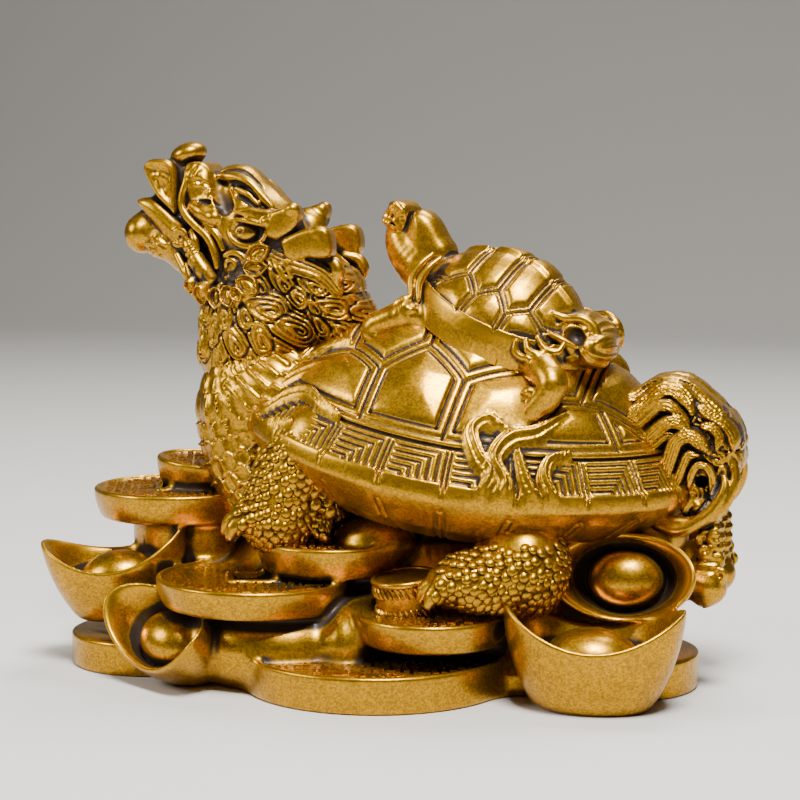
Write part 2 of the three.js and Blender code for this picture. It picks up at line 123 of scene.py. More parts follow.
class Clay:
    """Depths in millimetres on an even grid, below zero inside the form."""

    FAR = 6.0

    def __init__(self, low, high, step):
        self.low = np.array(low, dtype=float)
        self.step = step
        size = np.ceil((np.array(high) - self.low) / step).astype(int) + 1
        self.depth = np.full(size, self.FAR, dtype=np.float32)

    def axis(self, k, first=0, last=None):
        shape = [1, 1, 1]
        shape[k] = -1
        steps = np.arange(first, self.depth.shape[k] if last is None else last)
        return (self.low[k] + self.step * steps).astype(np.float32).reshape(shape)

    def window(self, form, margin):
        """The part of the grid round a form, and its coordinates."""
        size = np.array(self.depth.shape)
        first = np.floor((form.low - margin - self.low) / self.step).astype(int).clip(0, size - 1)
        last = np.ceil((form.high + margin - self.low) / self.step).astype(int).clip(first + 1, size)
        where = tuple(slice(a, b) for a, b in zip(first, last))
        return where, [self.axis(k, first[k], last[k]) for k in range(3)]

    def add(self, form, blend=1.0):
        where, axes = self.window(form, blend + 1.5)
        self.depth[where] = soft_min(self.depth[where], form.depth(*axes), blend)

    def cut(self, form, blend=0.6):
        where, axes = self.window(form, blend + 1.5)
        self.depth[where] = soft_max(self.depth[where], -form.depth(*axes), blend)

    def add_all(self, forms):
        """Adds forms, each given after its blend."""
        for blend, form in forms:
            self.add(form, blend)

    def cut_all(self, forms):
        for blend, form in forms:
            self.cut(form, blend)

    def sample(self, points):
        """Depths at points, read between the grid's own."""
        place = (points - self.low) / self.step
        place = place.clip(0, np.array(self.depth.shape) - 1.001)
        corner = place.astype(int)
        part = (place - corner).astype(np.float32)
        total = np.zeros(len(points), dtype=np.float32)
        for step in np.ndindex(2, 2, 2):
            near = np.abs(1 - np.array(step, dtype=np.float32) - part)
            total += near[:, 0] * near[:, 1] * near[:, 2] * self.depth[tuple((corner + step).T)]
        return total

    def hollowness(self, points, reach):
        """How far the surface is hollow, above zero, or proud, below zero, within a reach in millimetres."""
        around = [np.array(step) - 1 for step in np.ndindex(3, 3, 3) if step != (1, 1, 1)]
        mean = np.zeros(len(points), dtype=np.float32)
        for direction in around:
            mean += self.sample(points + reach * direction / np.linalg.norm(direction))
        return (self.sample(points) - mean / len(around)) / reach


def axes_of(roll=0, pitch=0, yaw=0):
    """The turned axes as columns: roll about X, then pitch about Y, then yaw about Z, in degrees."""
    return np.array(Euler((math.radians(roll), math.radians(pitch), math.radians(yaw))).to_matrix())


def set_form(at, reach, shape, axes=None, **turn):
    """A shape in its own axes, set at a place and turned. Reach is its half size each way."""
    if axes is None:
        axes = axes_of(**turn)
    half = np.abs(axes) @ np.array(reach, dtype=float)

    def depth(x, y, z):
        px, py, pz = x - at[0], y - at[1], z - at[2]
        return shape(*[axes[0, k] * px + axes[1, k] * py + axes[2, k] * pz for k in range(3)])

    return Form(np.array(at) - half, np.array(at) + half, depth)


def bead(at, radii, relief=None, **turn):
    """An ellipsoid, whose surface relief(x, y, z) may raise."""
    a, b, c = radii

    def shape(x, y, z):
        near = np.sqrt((x / a) ** 2 + (y / b) ** 2 + (z / c) ** 2) + 1e-6
        steep = np.sqrt((x / a**2) ** 2 + (y / b**2) ** 2 + (z / c**2) ** 2) + 1e-6
        out = near * (near - 1) / steep
        return out if relief is None else out - relief(x, y, z)

    return set_form(at, radii, shape, **turn)


def smooth_path(points, steps):
    """Points on a curve that runs evenly through the given ones."""
    points = np.array(points, dtype=float)
    ends = np.vstack([2 * points[0] - points[1], points, 2 * points[-1] - points[-2]])
    made = []
    for share in np.linspace(0, len(points) - 1, steps + 1):
        i = min(int(share), len(points) - 2)
        t = share - i
        a, b, c, d = ends[i : i + 4]
        bend, twist = 2 * a - 5 * b + 4 * c - d, 3 * b - a - 3 * c + d
        made.append(0.5 * (2 * b + (c - a) * t + bend * t**2 + twist * t**3))
    return np.array(made)


def tapered(sizes, count):
    """A few sizes spread evenly over a count of points."""
    return np.interp(np.linspace(0, 1, count), np.linspace(0, 1, len(sizes)), sizes)


def limb(path, radii, side=1, wide=1.0, across=(0, 1, 0), relief=None, steps=None):
    """A tapered tube along a smooth path, on the flank that side, -1 or 1, gives.

    Wide stretches it across. Relief(along, angle) raises its surface, where angle 0 is its top.
    """
    spine = smooth_path([(x, y * side, z) for x, y, z in path], steps or 4 * (len(path) - 1))
    sizes = tapered(radii, len(spine))
    reach = max(radii) * max(1, wide) + 1

    def depth(x, y, z):
        best = None
        travelled = 0
        for start, end, small, large in zip(spine, spine[1:], sizes, sizes[1:]):
            length = np.linalg.norm(end - start)
            ahead = (end - start) / length
            side = np.array(across, dtype=float) - ahead * np.dot(across, ahead)
            side /= np.linalg.norm(side)
            over = np.cross(ahead, side)
            px, py, pz = x - start[0], y - start[1], z - start[2]
            along = ahead[0] * px + ahead[1] * py + ahead[2] * pz
            share = np.clip(along / length, 0, 1)
            up = over[0] * px + over[1] * py + over[2] * pz
            out = (side[0] * px + side[1] * py + side[2] * pz) / wide
            radius = small + (large - small) * share
            value = np.sqrt(up**2 + out**2 + (along - share * length) ** 2) - radius
            if best is None:
                best, ups, outs, run = value, up, out, share * length
            else:
                closer = value < best
                best = np.where(closer, value, best)
                if relief is not None:
                    ups = np.where(closer, up, ups)
                    outs = np.where(closer, out, outs)
                    run = np.where(closer, travelled + share * length, run)
            travelled += length
        return best if relief is None else best - relief(run, np.arctan2(outs, ups))

    return Form(spine.min(axis=0) - reach, spine.max(axis=0) + reach, depth)


def outline_distance(points, x, z):
    """The distance to a closed outline of (x, z) points, below zero inside it."""
    shape = np.broadcast(x, z).shape
    nearest = np.full(shape, 1e6, dtype=np.float32)
    inside = np.zeros(shape, dtype=bool)
    for (ax, az), (bx, bz) in zip(points, points[1:] + points[:1]):
        _, dx, dz = beside_line(x, z, (ax, az), (bx, bz))
        nearest = np.minimum(nearest, dx**2 + dz**2)
        if az != bz:
            inside ^= ((z < az) != (z < bz)) & (x < ax + (z - az) * (bx - ax) / (bz - az))
    return np.where(inside, -1, 1) * np.sqrt(nearest)


def smooth_loop(points):
    """A closed outline that runs evenly through the given (x, z) points."""
    around = smooth_path(points[-2:] + points + points[:3], 3 * (len(points) + 4))
    return [(float(x), float(z)) for x, z in around[6:-9]]


def slab(points, y, half, side=1, lean=0.0, soft=0.8, relief=None):
    """A plate across Y with a closed outline of (x, z) points and rounded edges. It may lean along X."""
    points = smooth_loop(points)
    first = points[0][0]
    xs, zs = [point[0] for point in points], [point[1] for point in points]
    ys = [side * (y + lean * (x - first)) for x in (min(xs), max(xs))]
    low = np.array((min(xs), min(ys) - half - 1, min(zs)))
    high = np.array((max(xs), max(ys) + half + 1, max(zs)))

    def depth(px, py, pz):
        out = outline_distance(points, px, pz)
        thick = half if relief is None else half + relief(out, px, pz)
        return soft_max(out, np.abs(side * py - y - lean * (px - first)) - thick, soft)

    return Form(low, high, depth)


# From clay to a finished mesh


def cast(name, clay, most_faces, finish, at=(0, 0, 0), **turn):
    """Casts the clay as one closed mesh, set at a place in millimetres, with its hollows marked for the
    lacquer's painted shade.
    """
    piece = link(name, mesh_of(name, clay))
    if 2 * len(piece.data.polygons) > most_faces:
        thin = piece.modifiers.new("thin", "DECIMATE")
        thin.ratio = most_faces / (2 * len(piece.data.polygons))
        settle(piece, thin)
    mesh = piece.data
    if signed_volume(mesh) < 0:
        mesh.flip_normals()
    points = triples(mesh.vertices, "co")
    # How hollow and how shut in each point lies, which the lacquer paints as shade
    hollow = hollows(mesh, points, clay)
    mesh.attributes.new("hollow", "FLOAT", "POINT").data.foreach_set("value", hollow)
    set_points = (points @ axes_of(**turn).T + np.array(at)) * MM
    mesh.vertices.foreach_set("co", set_points.astype(np.float32).ravel())
    mesh.shade_smooth()
    mesh.update()
    dress(piece, finish)
    return piece


def mesh_of(name, clay):
    """The clay's surface as a mesh of four-sided faces, in millimetres."""
    grid = openvdb.FloatGrid(background=Clay.FAR)
    grid.copyFromArray(clay.depth, tolerance=0.0)
    points, _, quads = grid.convertToPolygons(isovalue=0.0, adaptivity=0.0)
    points = clay.low + clay.step * points
    mesh = bpy.data.meshes.new(name)
    mesh.vertices.add(len(points))
    mesh.vertices.foreach_set("co", points.astype(np.float32).ravel())
    mesh.loops.add(quads.size)
    mesh.loops.foreach_set("vertex_index", quads[:, ::-1].astype(np.int32).ravel())
    mesh.polygons.add(len(quads))
    mesh.polygons.foreach_set("loop_start", np.arange(0, quads.size, 4, dtype=np.int32))
    mesh.update(calc_edges=True)
    return mesh


def hollows(mesh, points, clay):
    """How hollow each point lies: in fine relief, in broad forms and between facing walls. The lacquer
    paints shade by this mark.
    """
    outward = triples(mesh.vertex_normals, "vector")
    # How far facing walls shut a point in, an ambient occlusion that darkens it with painted shade
    shut = sum(np.clip(1 - clay.sample(points + way * outward) / way, 0, 1) for way in FACING_WALLS)
    fine, broad = clay.hollowness(points, FINE_REACH), clay.hollowness(points, BROAD_REACH)
    wall_shade = ease(0.25, 0.8, shut / len(FACING_WALLS))
    return (FINE_SHARE * fine + BROAD_SHARE * broad + WALL_SHARE * wall_shade).astype(np.float32)


def link(name, data):
    """A new object in the scene."""
    made = bpy.data.objects.new(name, data)
    bpy.context.scene.collection.objects.link(made)
    return made


def settle(piece, modifier):
    """Makes what the modifier shows the piece's own plain mesh."""
    raw = piece.data
    graph = bpy.context.evaluated_depsgraph_get()
    made = bpy.data.meshes.new_from_object(piece.evaluated_get(graph))
    piece.modifiers.remove(modifier)
    piece.data = made
    bpy.data.meshes.remove(raw)
    made.name = piece.name


def triples(items, name, kind=np.float32):
    """A property of three numbers of every vertex or face, as rows."""
    values = np.empty(len(items) * 3, dtype=kind)
    items.foreach_get(name, values)
    return values.reshape(-1, 3)


def signed_volume(mesh):
    """Above zero where the faces point outwards."""
    mesh.calc_loop_triangles()
    corners = triples(mesh.loop_triangles, "vertices", np.int32)
    a, b, c = triples(mesh.vertices, "co")[corners].transpose(1, 0, 2)
    return np.einsum("ij,ij->i", a, np.cross(b, c)).sum() / 6


def dress(piece, finish):
    """Gives a piece its finish and its part in the frame."""
    piece.data.materials.clear()
    piece.data.materials.append(finish)
    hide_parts(NODE)
    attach(piece, "root")


# Coins and ingots of the heap

# In millimetres: how wide a coin's rim is, how deep its field lies, and how wide the frame of its hole is
COIN_RIM = 1.1
COIN_SUNK = 0.75
FRAME_WIDE = 1.3
# How far the coins are turned, in degrees
COIN_YAW = 20


def hole_of(radius):
    """Half the width of a cash coin's square hole."""
    return 0.21 * radius


def coin(at, radius, thick, pitch=0, roll=0, yaw=COIN_YAW, face="rim"):
    """A cash coin with its top at its place: a rim, a sunken field and a framed square hole.

    The coins on top of others are worn narrower towards their undersides. Face is rim, hole or covered.
    """
    hole = hole_of(radius)
    taper = 1.8 if at[2] > 10 else 0.3

    def top(x, y, out):
        if face == "covered":
            return 0 * out
        inner = radius - COIN_RIM
        height = -COIN_SUNK * ease(inner, inner - 0.5, out)
        if face == "hole":
            square = np.maximum(np.abs(x), np.abs(y))
            height += 0.8 * COIN_SUNK * ease(hole + FRAME_WIDE + 0.4, hole + FRAME_WIDE, square)
            height -= 3.4 * ease(hole, hole - 0.5, square)
        return height

    def shape(x, y, z):
        out = np.sqrt(x * x + y * y)
        wall = out - radius + taper * np.clip(-z / thick, 0, 1.2) ** 2
        slab = soft_max(z - top(x, y, out), -thick - z, 0.5)
        return soft_max(wall, slab, 0.9)

    return set_form(at, (radius, radius, thick + 1), shape, pitch=pitch, roll=roll, yaw=yaw)


def ingot(at, length, yaw=0, pitch=0, roll=0):
    """A boat-shaped ingot with a ball in its hollow and a narrow foot. Its foot is at its place."""
    half, wide, high, rise = length / 2, 0.31 * length, 0.4 * length, 0.2 * length
    size = 0.2 * length

    def shape(x, y, z):
        xs, ys = x / half, y / wide
        share = np.sqrt(xs * xs + ys * ys) + 1e-4
        level = high + rise * xs * xs
        up = np.clip(z / level, 0, 1.1)
        wall = 0.62 + 0.38 * np.sin(0.5 * math.pi * np.minimum(up, 1)) ** 0.9
        side = (share - wall) * np.sqrt(x * x + y * y + 1e-3) / share * 0.93
        dish = 0.5 + 0.05 * share + 0.45 * ease(0.55, 0.95, share)
        top = (z - np.where(share < 0.95, dish, 1.0) * level) * 0.85
        body = soft_max(soft_max(side, top, 0.8), -z, 2.0)
        above = z - 0.66 * high
        near = np.sqrt((x / (1.35 * size)) ** 2 + (y / (1.05 * size)) ** 2 + (above / (0.95 * size)) ** 2)
        return soft_min(body, (near - 1) * size, 0.5)

    return set_form(at, (half, wide, high + rise + 1), shape, yaw=yaw, pitch=pitch, roll=roll)


COINS = [
    dict(at=(0, -19.5, 8), radius=29.5, thick=8, face="hole"),
    dict(at=(-56, -10, 7.5), radius=18.5, thick=7.5, face="covered"),
    dict(at=(50, -6, 8), radius=18.5, thick=8, face="covered"),
    dict(at=(-2, 29, 17), radius=16, thick=6.5, roll=-4),
    dict(at=(-27, -23, 23.4), radius=21.5, thick=6.5, pitch=1, face="hole"),
    dict(at=(14, -26, 18), radius=16.5, thick=6.5),
    dict(at=(-11.5, -14, 31), radius=17, thick=7),
    dict(at=(-53.5, 2, 39), radius=20, thick=7, face="hole"),
    dict(at=(-48.5, 6, 45), radius=11.5, thick=7, pitch=5, roll=3),
    dict(at=(-4, 23, 8), radius=27, thick=8),
    dict(at=(-50, 4, 33), radius=15, thick=31, face="covered"),
]
INGOTS = [
    dict(at=(-61.5, -13, 11), length=33, yaw=12, pitch=-7, roll=8),
    dict(at=(-41, -25, 4), length=31, yaw=-32, pitch=12, roll=48),
    dict(at=(49, -29.5, 0), length=38, yaw=4, pitch=2, roll=4),
    dict(at=(53.5, -7, 22.6), length=31, yaw=3, pitch=0, roll=74),
    dict(at=(59, 8, 15), length=32, yaw=48, pitch=-8, roll=-12),
    dict(at=(-44, 28, 2), length=36, yaw=34, pitch=4, roll=-16),
    dict(at=(37, 31, 1), length=38, yaw=-18, pitch=-4, roll=-14),
]


def mound(length, width, height, shift):
    """The mound that fills the middle of the heap, narrower at each of its levels."""
    levels, widths = (0, 0.14, 0.5, 0.9, 1, 1.02), (1, 1, 0.82, 0.6, 0.2, 0)

    def shape(x, y, z):
        share = np.sqrt((2 * x / length) ** 2 + (2 * y / width) ** 2) + 1e-4
        wall = np.interp(z / height, levels, widths).astype(np.float32)
        side = (share - wall) * np.sqrt(x * x + y * y + 1e-3) / share * 0.8
        return soft_max(side, np.maximum(z - height, -z), 2)

    return set_form((0, shift, 0), (length / 2, width / 2, height), shape)


def model_heap(sizes):
    clay = Clay((-82, -52, -1.2), (82, 52, 50), STEP["heap"])
    clay.add(mound(sizes.length / MM, sizes.width / MM, sizes.height / MM, 6), 1)
    clay.add(bead((-24, -20, 9), (22, 19.5, 11.8)), 3)
    clay.add(bead((-4, -22, 10), (8, 13, 10)), 3)
    clay.add(bead((50, 2, 32), (15, 11, 8)), 3)
    clay.add(bead((-1, -17, 31), (9, 7, 5.5)), 2)
    for known in COINS:
        clay.add(coin(**known), 2.4)
    for known in INGOTS:
        clay.add(ingot(**known), 1.6)
    clay.depth = np.maximum(clay.depth, -clay.axis(2)).astype(np.float32)
    return clay


# Shells


class Shell:
    """The lines and the heights of one shell, on a map in its own axes."""

    def __init__(self, length, width, height, belly, sag, lip, rim, joints, crests, feet, corners, lean=0):
        self.half = np.array([length / 2, width / 2])
        self.height, self.belly, self.sag, self.lip = height, belly, sag, lip
        self.rim, self.joints, self.crests, self.feet = rim, joints, crests, feet
        self.corners, self.lean = corners, lean

    def share(self, x, y):
        """How far out each point of the map lies, 1 on the outline."""
        return np.sqrt((x / self.half[0]) ** 2 + (y / self.half[1]) ** 2)

    def ring(self, degrees, share):
        """A place in the outline, by its angle from the head and its share of the way out."""
        return -math.cos(math.radians(degrees)) * share, math.sin(math.radians(degrees)) * share

    def leaned(self, place):
        """A place moved as the keel leans to the left flank."""
        u, v = place
        reach = math.sqrt(max(1 - u * u, 0))
        return u, v - self.lean * max(0, 1 - (v / reach) ** 2) if reach > abs(v) else v

    def top(self, x, y):
        u, v = x / self.half[0], y / self.half[1]
        return self.height * np.maximum(1 - u * u - v * v, 0) ** 0.9 - self.sag * v * v

    def bottom(self, x, y):
        v = y / self.half[1]
        depths = (1, 1, 0.86, 0.62, 0.3, self.lip / self.belly)
        deep = np.interp(self.share(x, y), (0, 0.5, 0.7, 0.84, 0.95, 1), depths)
        return -self.belly * deep - self.sag * v * v

    def slopes(self, x, y):
        step = 0.2
        return (
            (self.top(x + step, y) - self.top(x - step, y)) / (2 * step),
            (self.top(x, y + step) - self.top(x, y - step)) / (2 * step),
        )

    def distance(self, lines, x, y):
        """How far each point of the map is from the nearest line, measured over the surface."""
        slope_x, slope_y = [np.clip(slope, -2.5, 2.5) for slope in self.slopes(x, y)]
        best = np.full(np.broadcast(x, y).shape, 1e3)
        for start, end in lines:
            _, dx, dy = beside_line(x, y, np.array(start) * self.half, np.array(end) * self.half)
            best = np.minimum(best, np.sqrt(dx * dx + dy * dy + (slope_x * dx + slope_y * dy) ** 2))
        return best

    def plate_lines(self):
        """The seams between the plates of the spine and of both flanks."""
        first, last = self.ring(self.corners[0], self.rim), self.ring(self.corners[-1], self.rim)
        joints = [first, *self.joints, last]
        zigzag = [place for pair in zip(joints, [*self.crests, None]) for place in pair if place]
        lines = list(zip(zigzag[:-1], zigzag[1:]))
        lines += [(self.crests[i], self.ring(angle, self.rim)) for i, angle in self.feet]
        far = [((a[0], -a[1]), (b[0], -b[1])) for a, b in lines]
        spine = [(a, (a[0], -a[1])) for a in joints[1:-1]]
        return [(self.leaned(a), self.leaned(b)) for a, b in lines + far + spine]

    def marginal_lines(self, inner, outer=1.02):
        """The seams between the marginal plates, from an inner to an outer share of the outline."""
        angles = [side * angle for angle in self.corners for side in (-1, 1)]
        return [(self.ring(angle, inner), self.ring(angle, outer)) for angle in angles]


def shell_form(shell, relief, under, edge):
    """A closed shell from its heights, the relief on its top and on its underside."""

    def depth(x, y, z):
        slope_x, slope_y = shell.slopes(x, y)
        share = shell.share(x, y) + 1e-4
        side = ((share - 1) * np.sqrt(x * x + y * y + 1e-3) / share).astype(np.float32)
        steep = np.sqrt(1 + np.clip(slope_x**2 + slope_y**2, 0, 9)).astype(np.float32)
        above = (z - shell.top(x, y).astype(np.float32)) / steep - relief
        below = (shell.bottom(x, y) + under).astype(np.float32) - z
        return soft_max(soft_max(above, side, edge), 0.85 * below, edge)

    everywhere = np.full(3, 999.0)
    return Form(-everywhere, everywhere, depth)


BIG_SHELL = Shell(
    length=105, width=75, height=32.5, belly=16, sag=5.3, lip=1.4, rim=0.859,
    joints=[(-0.48, 0.42), (-0.15, 0.49), (0.25, 0.5), (0.5, 0.487)],
    crests=[(-0.655, 0.33), (-0.33, 0.59), (0.035, 0.645), (0.43, 0.545), (0.573, 0.43)],
    feet=[(1, 66), (2, 91), (3, 114), (4, 143)],
    corners=[12, 29, 45, 62, 78, 94, 111, 129, 146, 161],
)
BIG_PLACE = dict(at=(16, 0, 50.5), pitch=9)
SMALL_SHELL = Shell(
    length=45, width=35, height=15, belly=8.5, sag=3, lip=4.5, rim=0.97,
    joints=[(-0.36, 0.34), (0.02, 0.44), (0.38, 0.4)],
    crests=[(-0.54, 0.4), (-0.165, 0.57), (0.207, 0.6), (0.55, 0.42)],
    feet=[(0, 39), (1, 76), (2, 103), (3, 140)],
    corners=[13, 39, 64, 82, 103, 128, 167], lean=0.26,
)
SMALL_PLACE = dict(at=(25.5, -3.5, 79.5), pitch=23, yaw=-14)


def below_line(shell, x, y, z, first):
    """How far down its flank each point lies from the line round the shell at a share of its outline."""
    share = shell.share(x, y) + 1e-4
    start = first / share
    drop = shell.top(x * start, y * start) - z
    level = np.sqrt(x * x + y * y) * (1 - start)
    return (np.sqrt(level**2 + drop**2) * np.sign(share - first)).astype(np.float32)


def fret(shell, x, y, down, pitch, count, width):
    """Nested square hooks cut in each marginal plate, 1 on a line. Their corners point to the tail.

    The plates at the head and the tail run on past the seams nearest to them.
    """
    angle = 180 - np.degrees(np.abs(np.arctan2(y / shell.half[1], x / shell.half[0])))
    seams = np.array([-12, *shell.corners, 201])
    plate = np.clip(np.searchsorted(seams, angle) - 1, 0, len(seams) - 2)
    out = np.sqrt(x * x + y * y)
    to_tail = (np.radians(seams[plate + 1] - angle) * out).astype(np.float32)
    from_head = np.radians(angle - seams[plate]) * out
    level = np.minimum(down, to_tail) / pitch
    line = np.clip(np.round(level), 1, count)
    fade = (ease(0.9, 1.3, from_head) * ease(0.985, 0.968, shell.share(x, y))).astype(np.float32)
    return groove((level - line) * pitch, width) * fade


def strands(shell, x, y, ways, spread):
    """Raised, tapering strands along ways of points on the shell: heights over its surface."""
    slope_x, slope_y = [np.clip(slope, -2, 2) for slope in shell.slopes(x, y)]
    height = np.zeros(np.broadcast(x, y).shape)
    for way, widths in ways:
        path = smooth_path(way, 8 * (len(way) - 1))
        best = np.full(height.shape, 9.0)
        for start, end, size in zip(path, path[1:], tapered(widths, len(path))):
            _, dx, dy = beside_line(x, y, start, end)
            away = np.sqrt(dx * dx + dy * dy + (slope_x * dx + slope_y * dy) ** 2)
            best = np.minimum(best, away / size)
        body = np.sqrt(np.maximum(1 - best * best, 0))
        height = np.maximum(height, spread * (body - 0.28 * groove(best - 0.38, 0.16) * (best < 1)))
    return height


RIBBONS = [
    ([(24, -23), (19.5, -27.4), (14.5, -30), (12.5, -33), (16, -34.8), (14.5, -37.3)],
     (1.2, 2.3, 2.6, 2.2, 2.4, 1.6)),
    ([(15, -29.5), (9.5, -29), (6.5, -31), (9.3, -33.4), (12.5, -34.6), (11, -37.5)],
     (0.9, 1.6, 2.0, 2.0, 2.0, 1.4)),
    ([(27, -27), (23.5, -29.4), (23.3, -31.4), (26, -33), (22, -36.4)], (0.8, 1.6, 1.9, 1.8, 1.2)),
    ([(17, -31), (20, -33), (24, -34.5), (21, -36.5)], (1.2, 1.6, 1.5, 1.0)),
]
FRONT_STRANDS = [
    ([(-50, -9), (-44, -12), (-39, -9.5), (-35, -5), (-30, -4.5), (-25, -6)],
     (1.6, 1.8, 1.7, 1.6, 1.3, 0.6)),
    ([(-49, -13), (-43, -15), (-37, -16), (-31, -18), (-25.5, -20.5)], (1.8, 2.0, 1.8, 1.6, 0.7)),
    ([(-47, -15), (-43, -19), (-38, -20), (-33, -22), (-28, -26), (-23, -29)],
     (1.3, 1.6, 1.8, 1.7, 1.3, 0.6)),
    ([(-45, -19), (-42, -22.5), (-38, -24.5), (-34, -26.5)], (1.3, 1.5, 1.3, 0.6)),
    ([(-41, -15), (-36, -13), (-31, -12.5), (-27, -14)], (0.9, 1.2, 1.0, 0.5)),
]


def both_sides(ways):
    return ways + [([(x, -y) for x, y in way], widths) for way, widths in ways]


def model_shell(shell, size, line, deep, border, swell):
    """The bare shell: seams of a width and a depth, a raised panel inside each plate's border, and a lip."""
    clay = Clay(*size)
    x, y = clay.axis(0), clay.axis(1)
    plates = shell.distance(shell.plate_lines(), x, y)
    above = -below_line(shell, x, y, shell.top(x, y), shell.rim)
    share = shell.share(x, y)
    inside = ease(-0.2, 0.2, above)
    near = np.minimum(plates, np.maximum(above, 0))
    edge = 0.55 * swell * ease(border, border + 1.1, near)
    relief = inside * (edge + swell * ease(border, border + 7, near))
    panels = ease(border - 0.3, border, above) * 0.7 * groove(plates - border, 0.85 * line)
    relief = relief - deep * inside * (groove(plates, line) + panels)
    relief = relief + 0.4 * groove((share - 0.99) * shell.half[1], 0.5)
    return clay, share, plates, relief


def model_big_shell(ways):
    """The big shell: on its flank every line is cut level by level, because the wall there is steep.

    A gap below the plates' lower edge runs the first line of the fret.
    """
    shell = BIG_SHELL
    gap, line, deep, border = 1.9, 0.29, 0.95, 1.95
    size = ((-55, -40, -25), (55, 40, 36), STEP["shell"])
    clay, _, plates, relief = model_shell(shell, size, line, deep, border, 0.8)
    x, y, z = clay.axis(0), clay.axis(1), clay.axis(2)
    edges = shell.distance(shell.marginal_lines(shell.rim), x, y)
    below = below_line(shell, x, y, shell.top(x, y), shell.rim) - gap
    relief = relief - 0.7 * ease(0, 0.3, below) * groove(edges - 0.48, 0.24)
    covered = strands(shell, x, y, ways, 1.6)
    bare = (covered <= 0).astype(np.float32)
    relief = np.where(covered > 0, np.maximum(covered - 0.4, relief), relief).astype(np.float32)
    relief = np.repeat(relief, z.size, axis=2)
    flank_bottom, flank_top = -8, 19
    flank = slice(*np.searchsorted(z.ravel(), (flank_bottom, flank_top)))
    down = below_line(shell, x, y, z[:, :, flank], shell.rim)
    lines = 1.0 * groove(down - gap, 0.36) + deep * groove(down, line)
    borders = ease(border - 0.3, border, plates).astype(np.float32)
    lines += 0.7 * deep * groove(down + border, 0.85 * line) * borders
    hooks = fret(shell, x, y, down - gap, pitch=1.4, count=5, width=0.26)
    lines += 0.6 * hooks * (down > gap + 0.4) * (edges > 1.1)
    relief[:, :, flank] -= lines * bare
    seams = shell.distance(shell.marginal_lines(0.55, 0.95), x, y)
    under = (0.5 * groove(seams - 0.9, 0.35)).astype(np.float32)
    clay.add(shell_form(shell, relief, under, 0.55), 0.1)
    return clay


def model_young_shell():
    """The young turtle's shell, with a keel that leans to its left and a groove round its lip."""
    shell = SMALL_SHELL
    size = ((-40, -24, -22), (29, 24, 20), STEP["young"])
    clay, share, _, relief = model_shell(shell, size, 0.36, 0.7, 0.95, 0.35)
    x, y = clay.axis(0), clay.axis(1)
    keel = [((-0.62, -0.1), (-0.2, -0.19)), ((-0.2, -0.19), (0.25, -0.22)), ((0.25, -0.22), (0.64, -0.2))]
    relief = relief + 0.75 * groove(shell.distance(keel, x, y), 0.6)
    relief = relief + 0.8 * groove((share - 0.965) * shell.half[1], 0.5)
    relief = relief - 0.5 * groove((share - 0.91) * shell.half[1], 0.45)
    clay.add(shell_form(shell, relief.astype(np.float32), 0, 0.6), 0.1)
    return clay


# Relief on skin and hair


def scales(along, around, size):
    """Overlapping scales with raised tips, from 0 to 1. Along runs towards their tips."""
    row = along / size
    height = np.zeros(np.broadcast(along, around).shape, dtype=np.float32)
    for back in (0, 1):
        level = np.floor(row) - back
        shift = around / size + 0.5 * (level % 2)
        across = shift - np.floor(shift) - 0.5
        down = row - level - 0.1
        out = np.sqrt((across / 0.56) ** 2 + (np.maximum(down, 0) / 1.3) ** 2)
        height = np.where(out < 1, 0.3 + 0.7 * out**3, height)
    return height


def scaly(radius, size, deep):
    """Relief of scales all round a limb."""
    return lambda along, angle: deep * scales(along, angle * radius, size)


def combed(count, deep, wave=0.0, turns=0.0):
    """Relief of hair lines that run along a lock, waving or turning round it."""
    return lambda along, angle: deep * np.cos(count * (angle + wave * np.sin(along / 3) + turns * along))


def axes_facing(outward, spin=0.0):
    """Axes whose third faces outward, turned about it by spin degrees. At no spin the first points down."""
    facing = np.array(outward, dtype=float) / np.linalg.norm(outward)
    down = np.array((0, 0, -1.0)) + facing * facing[2]
    if np.linalg.norm(down) < 1e-3:
        down = np.array((-1.0, 0, 0))
    down /= np.linalg.norm(down)
    side = np.cross(facing, down)
    turn = math.radians(spin)
    first = math.cos(turn) * down + math.sin(turn) * side
    return np.array((first, np.cross(facing, first), facing)).T


def petal(at, outward, length, width, rise, spin=0.0):
    """A pointed petal with a raised edge round a hollow, its tip along its first axis."""

    def shape(a, b, c):
        share = np.clip(a / length, -1, 1)
        half = width * np.where(share > 0, 1 - np.abs(share) ** 1.6, np.sqrt(np.maximum(1 - share**2, 0)))
        inner = half - np.abs(b)
        rim = groove(inner - 0.35, 0.42)
        height = rise * (0.2 + 0.8 * rim + 0.4 * ease(0.8, 2.0, inner))
        return soft_max((c - height) * 0.85, -0.8 * inner, 0.4)

    return set_form(at, (length, width, rise + 1), shape, axes_facing(outward, spin))


def pillow(drop, reach, narrow=None):
    """Relief that thins a slab towards its edge, and ahead of a place along X."""

    def relief(out, x, z):
        thinner = -edge_drop(out, drop, reach)
        return thinner if narrow is None else thinner - 0.25 * np.maximum(narrow - x, 0)

    return relief


def rough(x, z, pitch):
    """Uneven marks of the modelling tool, from -1 to 1."""
    u, v = x / pitch, z / pitch
    first = np.sin(4.1 * u + 2.3 * v + 1.5 * np.sin(2.7 * v))
    return first * np.sin(3.7 * v - 1.9 * u + 1.7 * np.sin(2.3 * u))


def arc_path(centre, radius, first, last, y, count=7):
    """Points on an arc in the X-Z plane, from a first to a last angle in degrees above +X."""
    angles = np.radians(np.linspace(first, last, count))
    return [(centre[0] + radius * math.cos(t), y, centre[1] + radius * math.sin(t)) for t in angles]


def map_axes(low, high):
    """The two coordinates of a flat map's points, as a column and a row."""
    return (
        np.arange(low[0], high[0], MAP_STEP).reshape(-1, 1),
        np.arange(low[1], high[1], MAP_STEP).reshape(1, -1),
    )


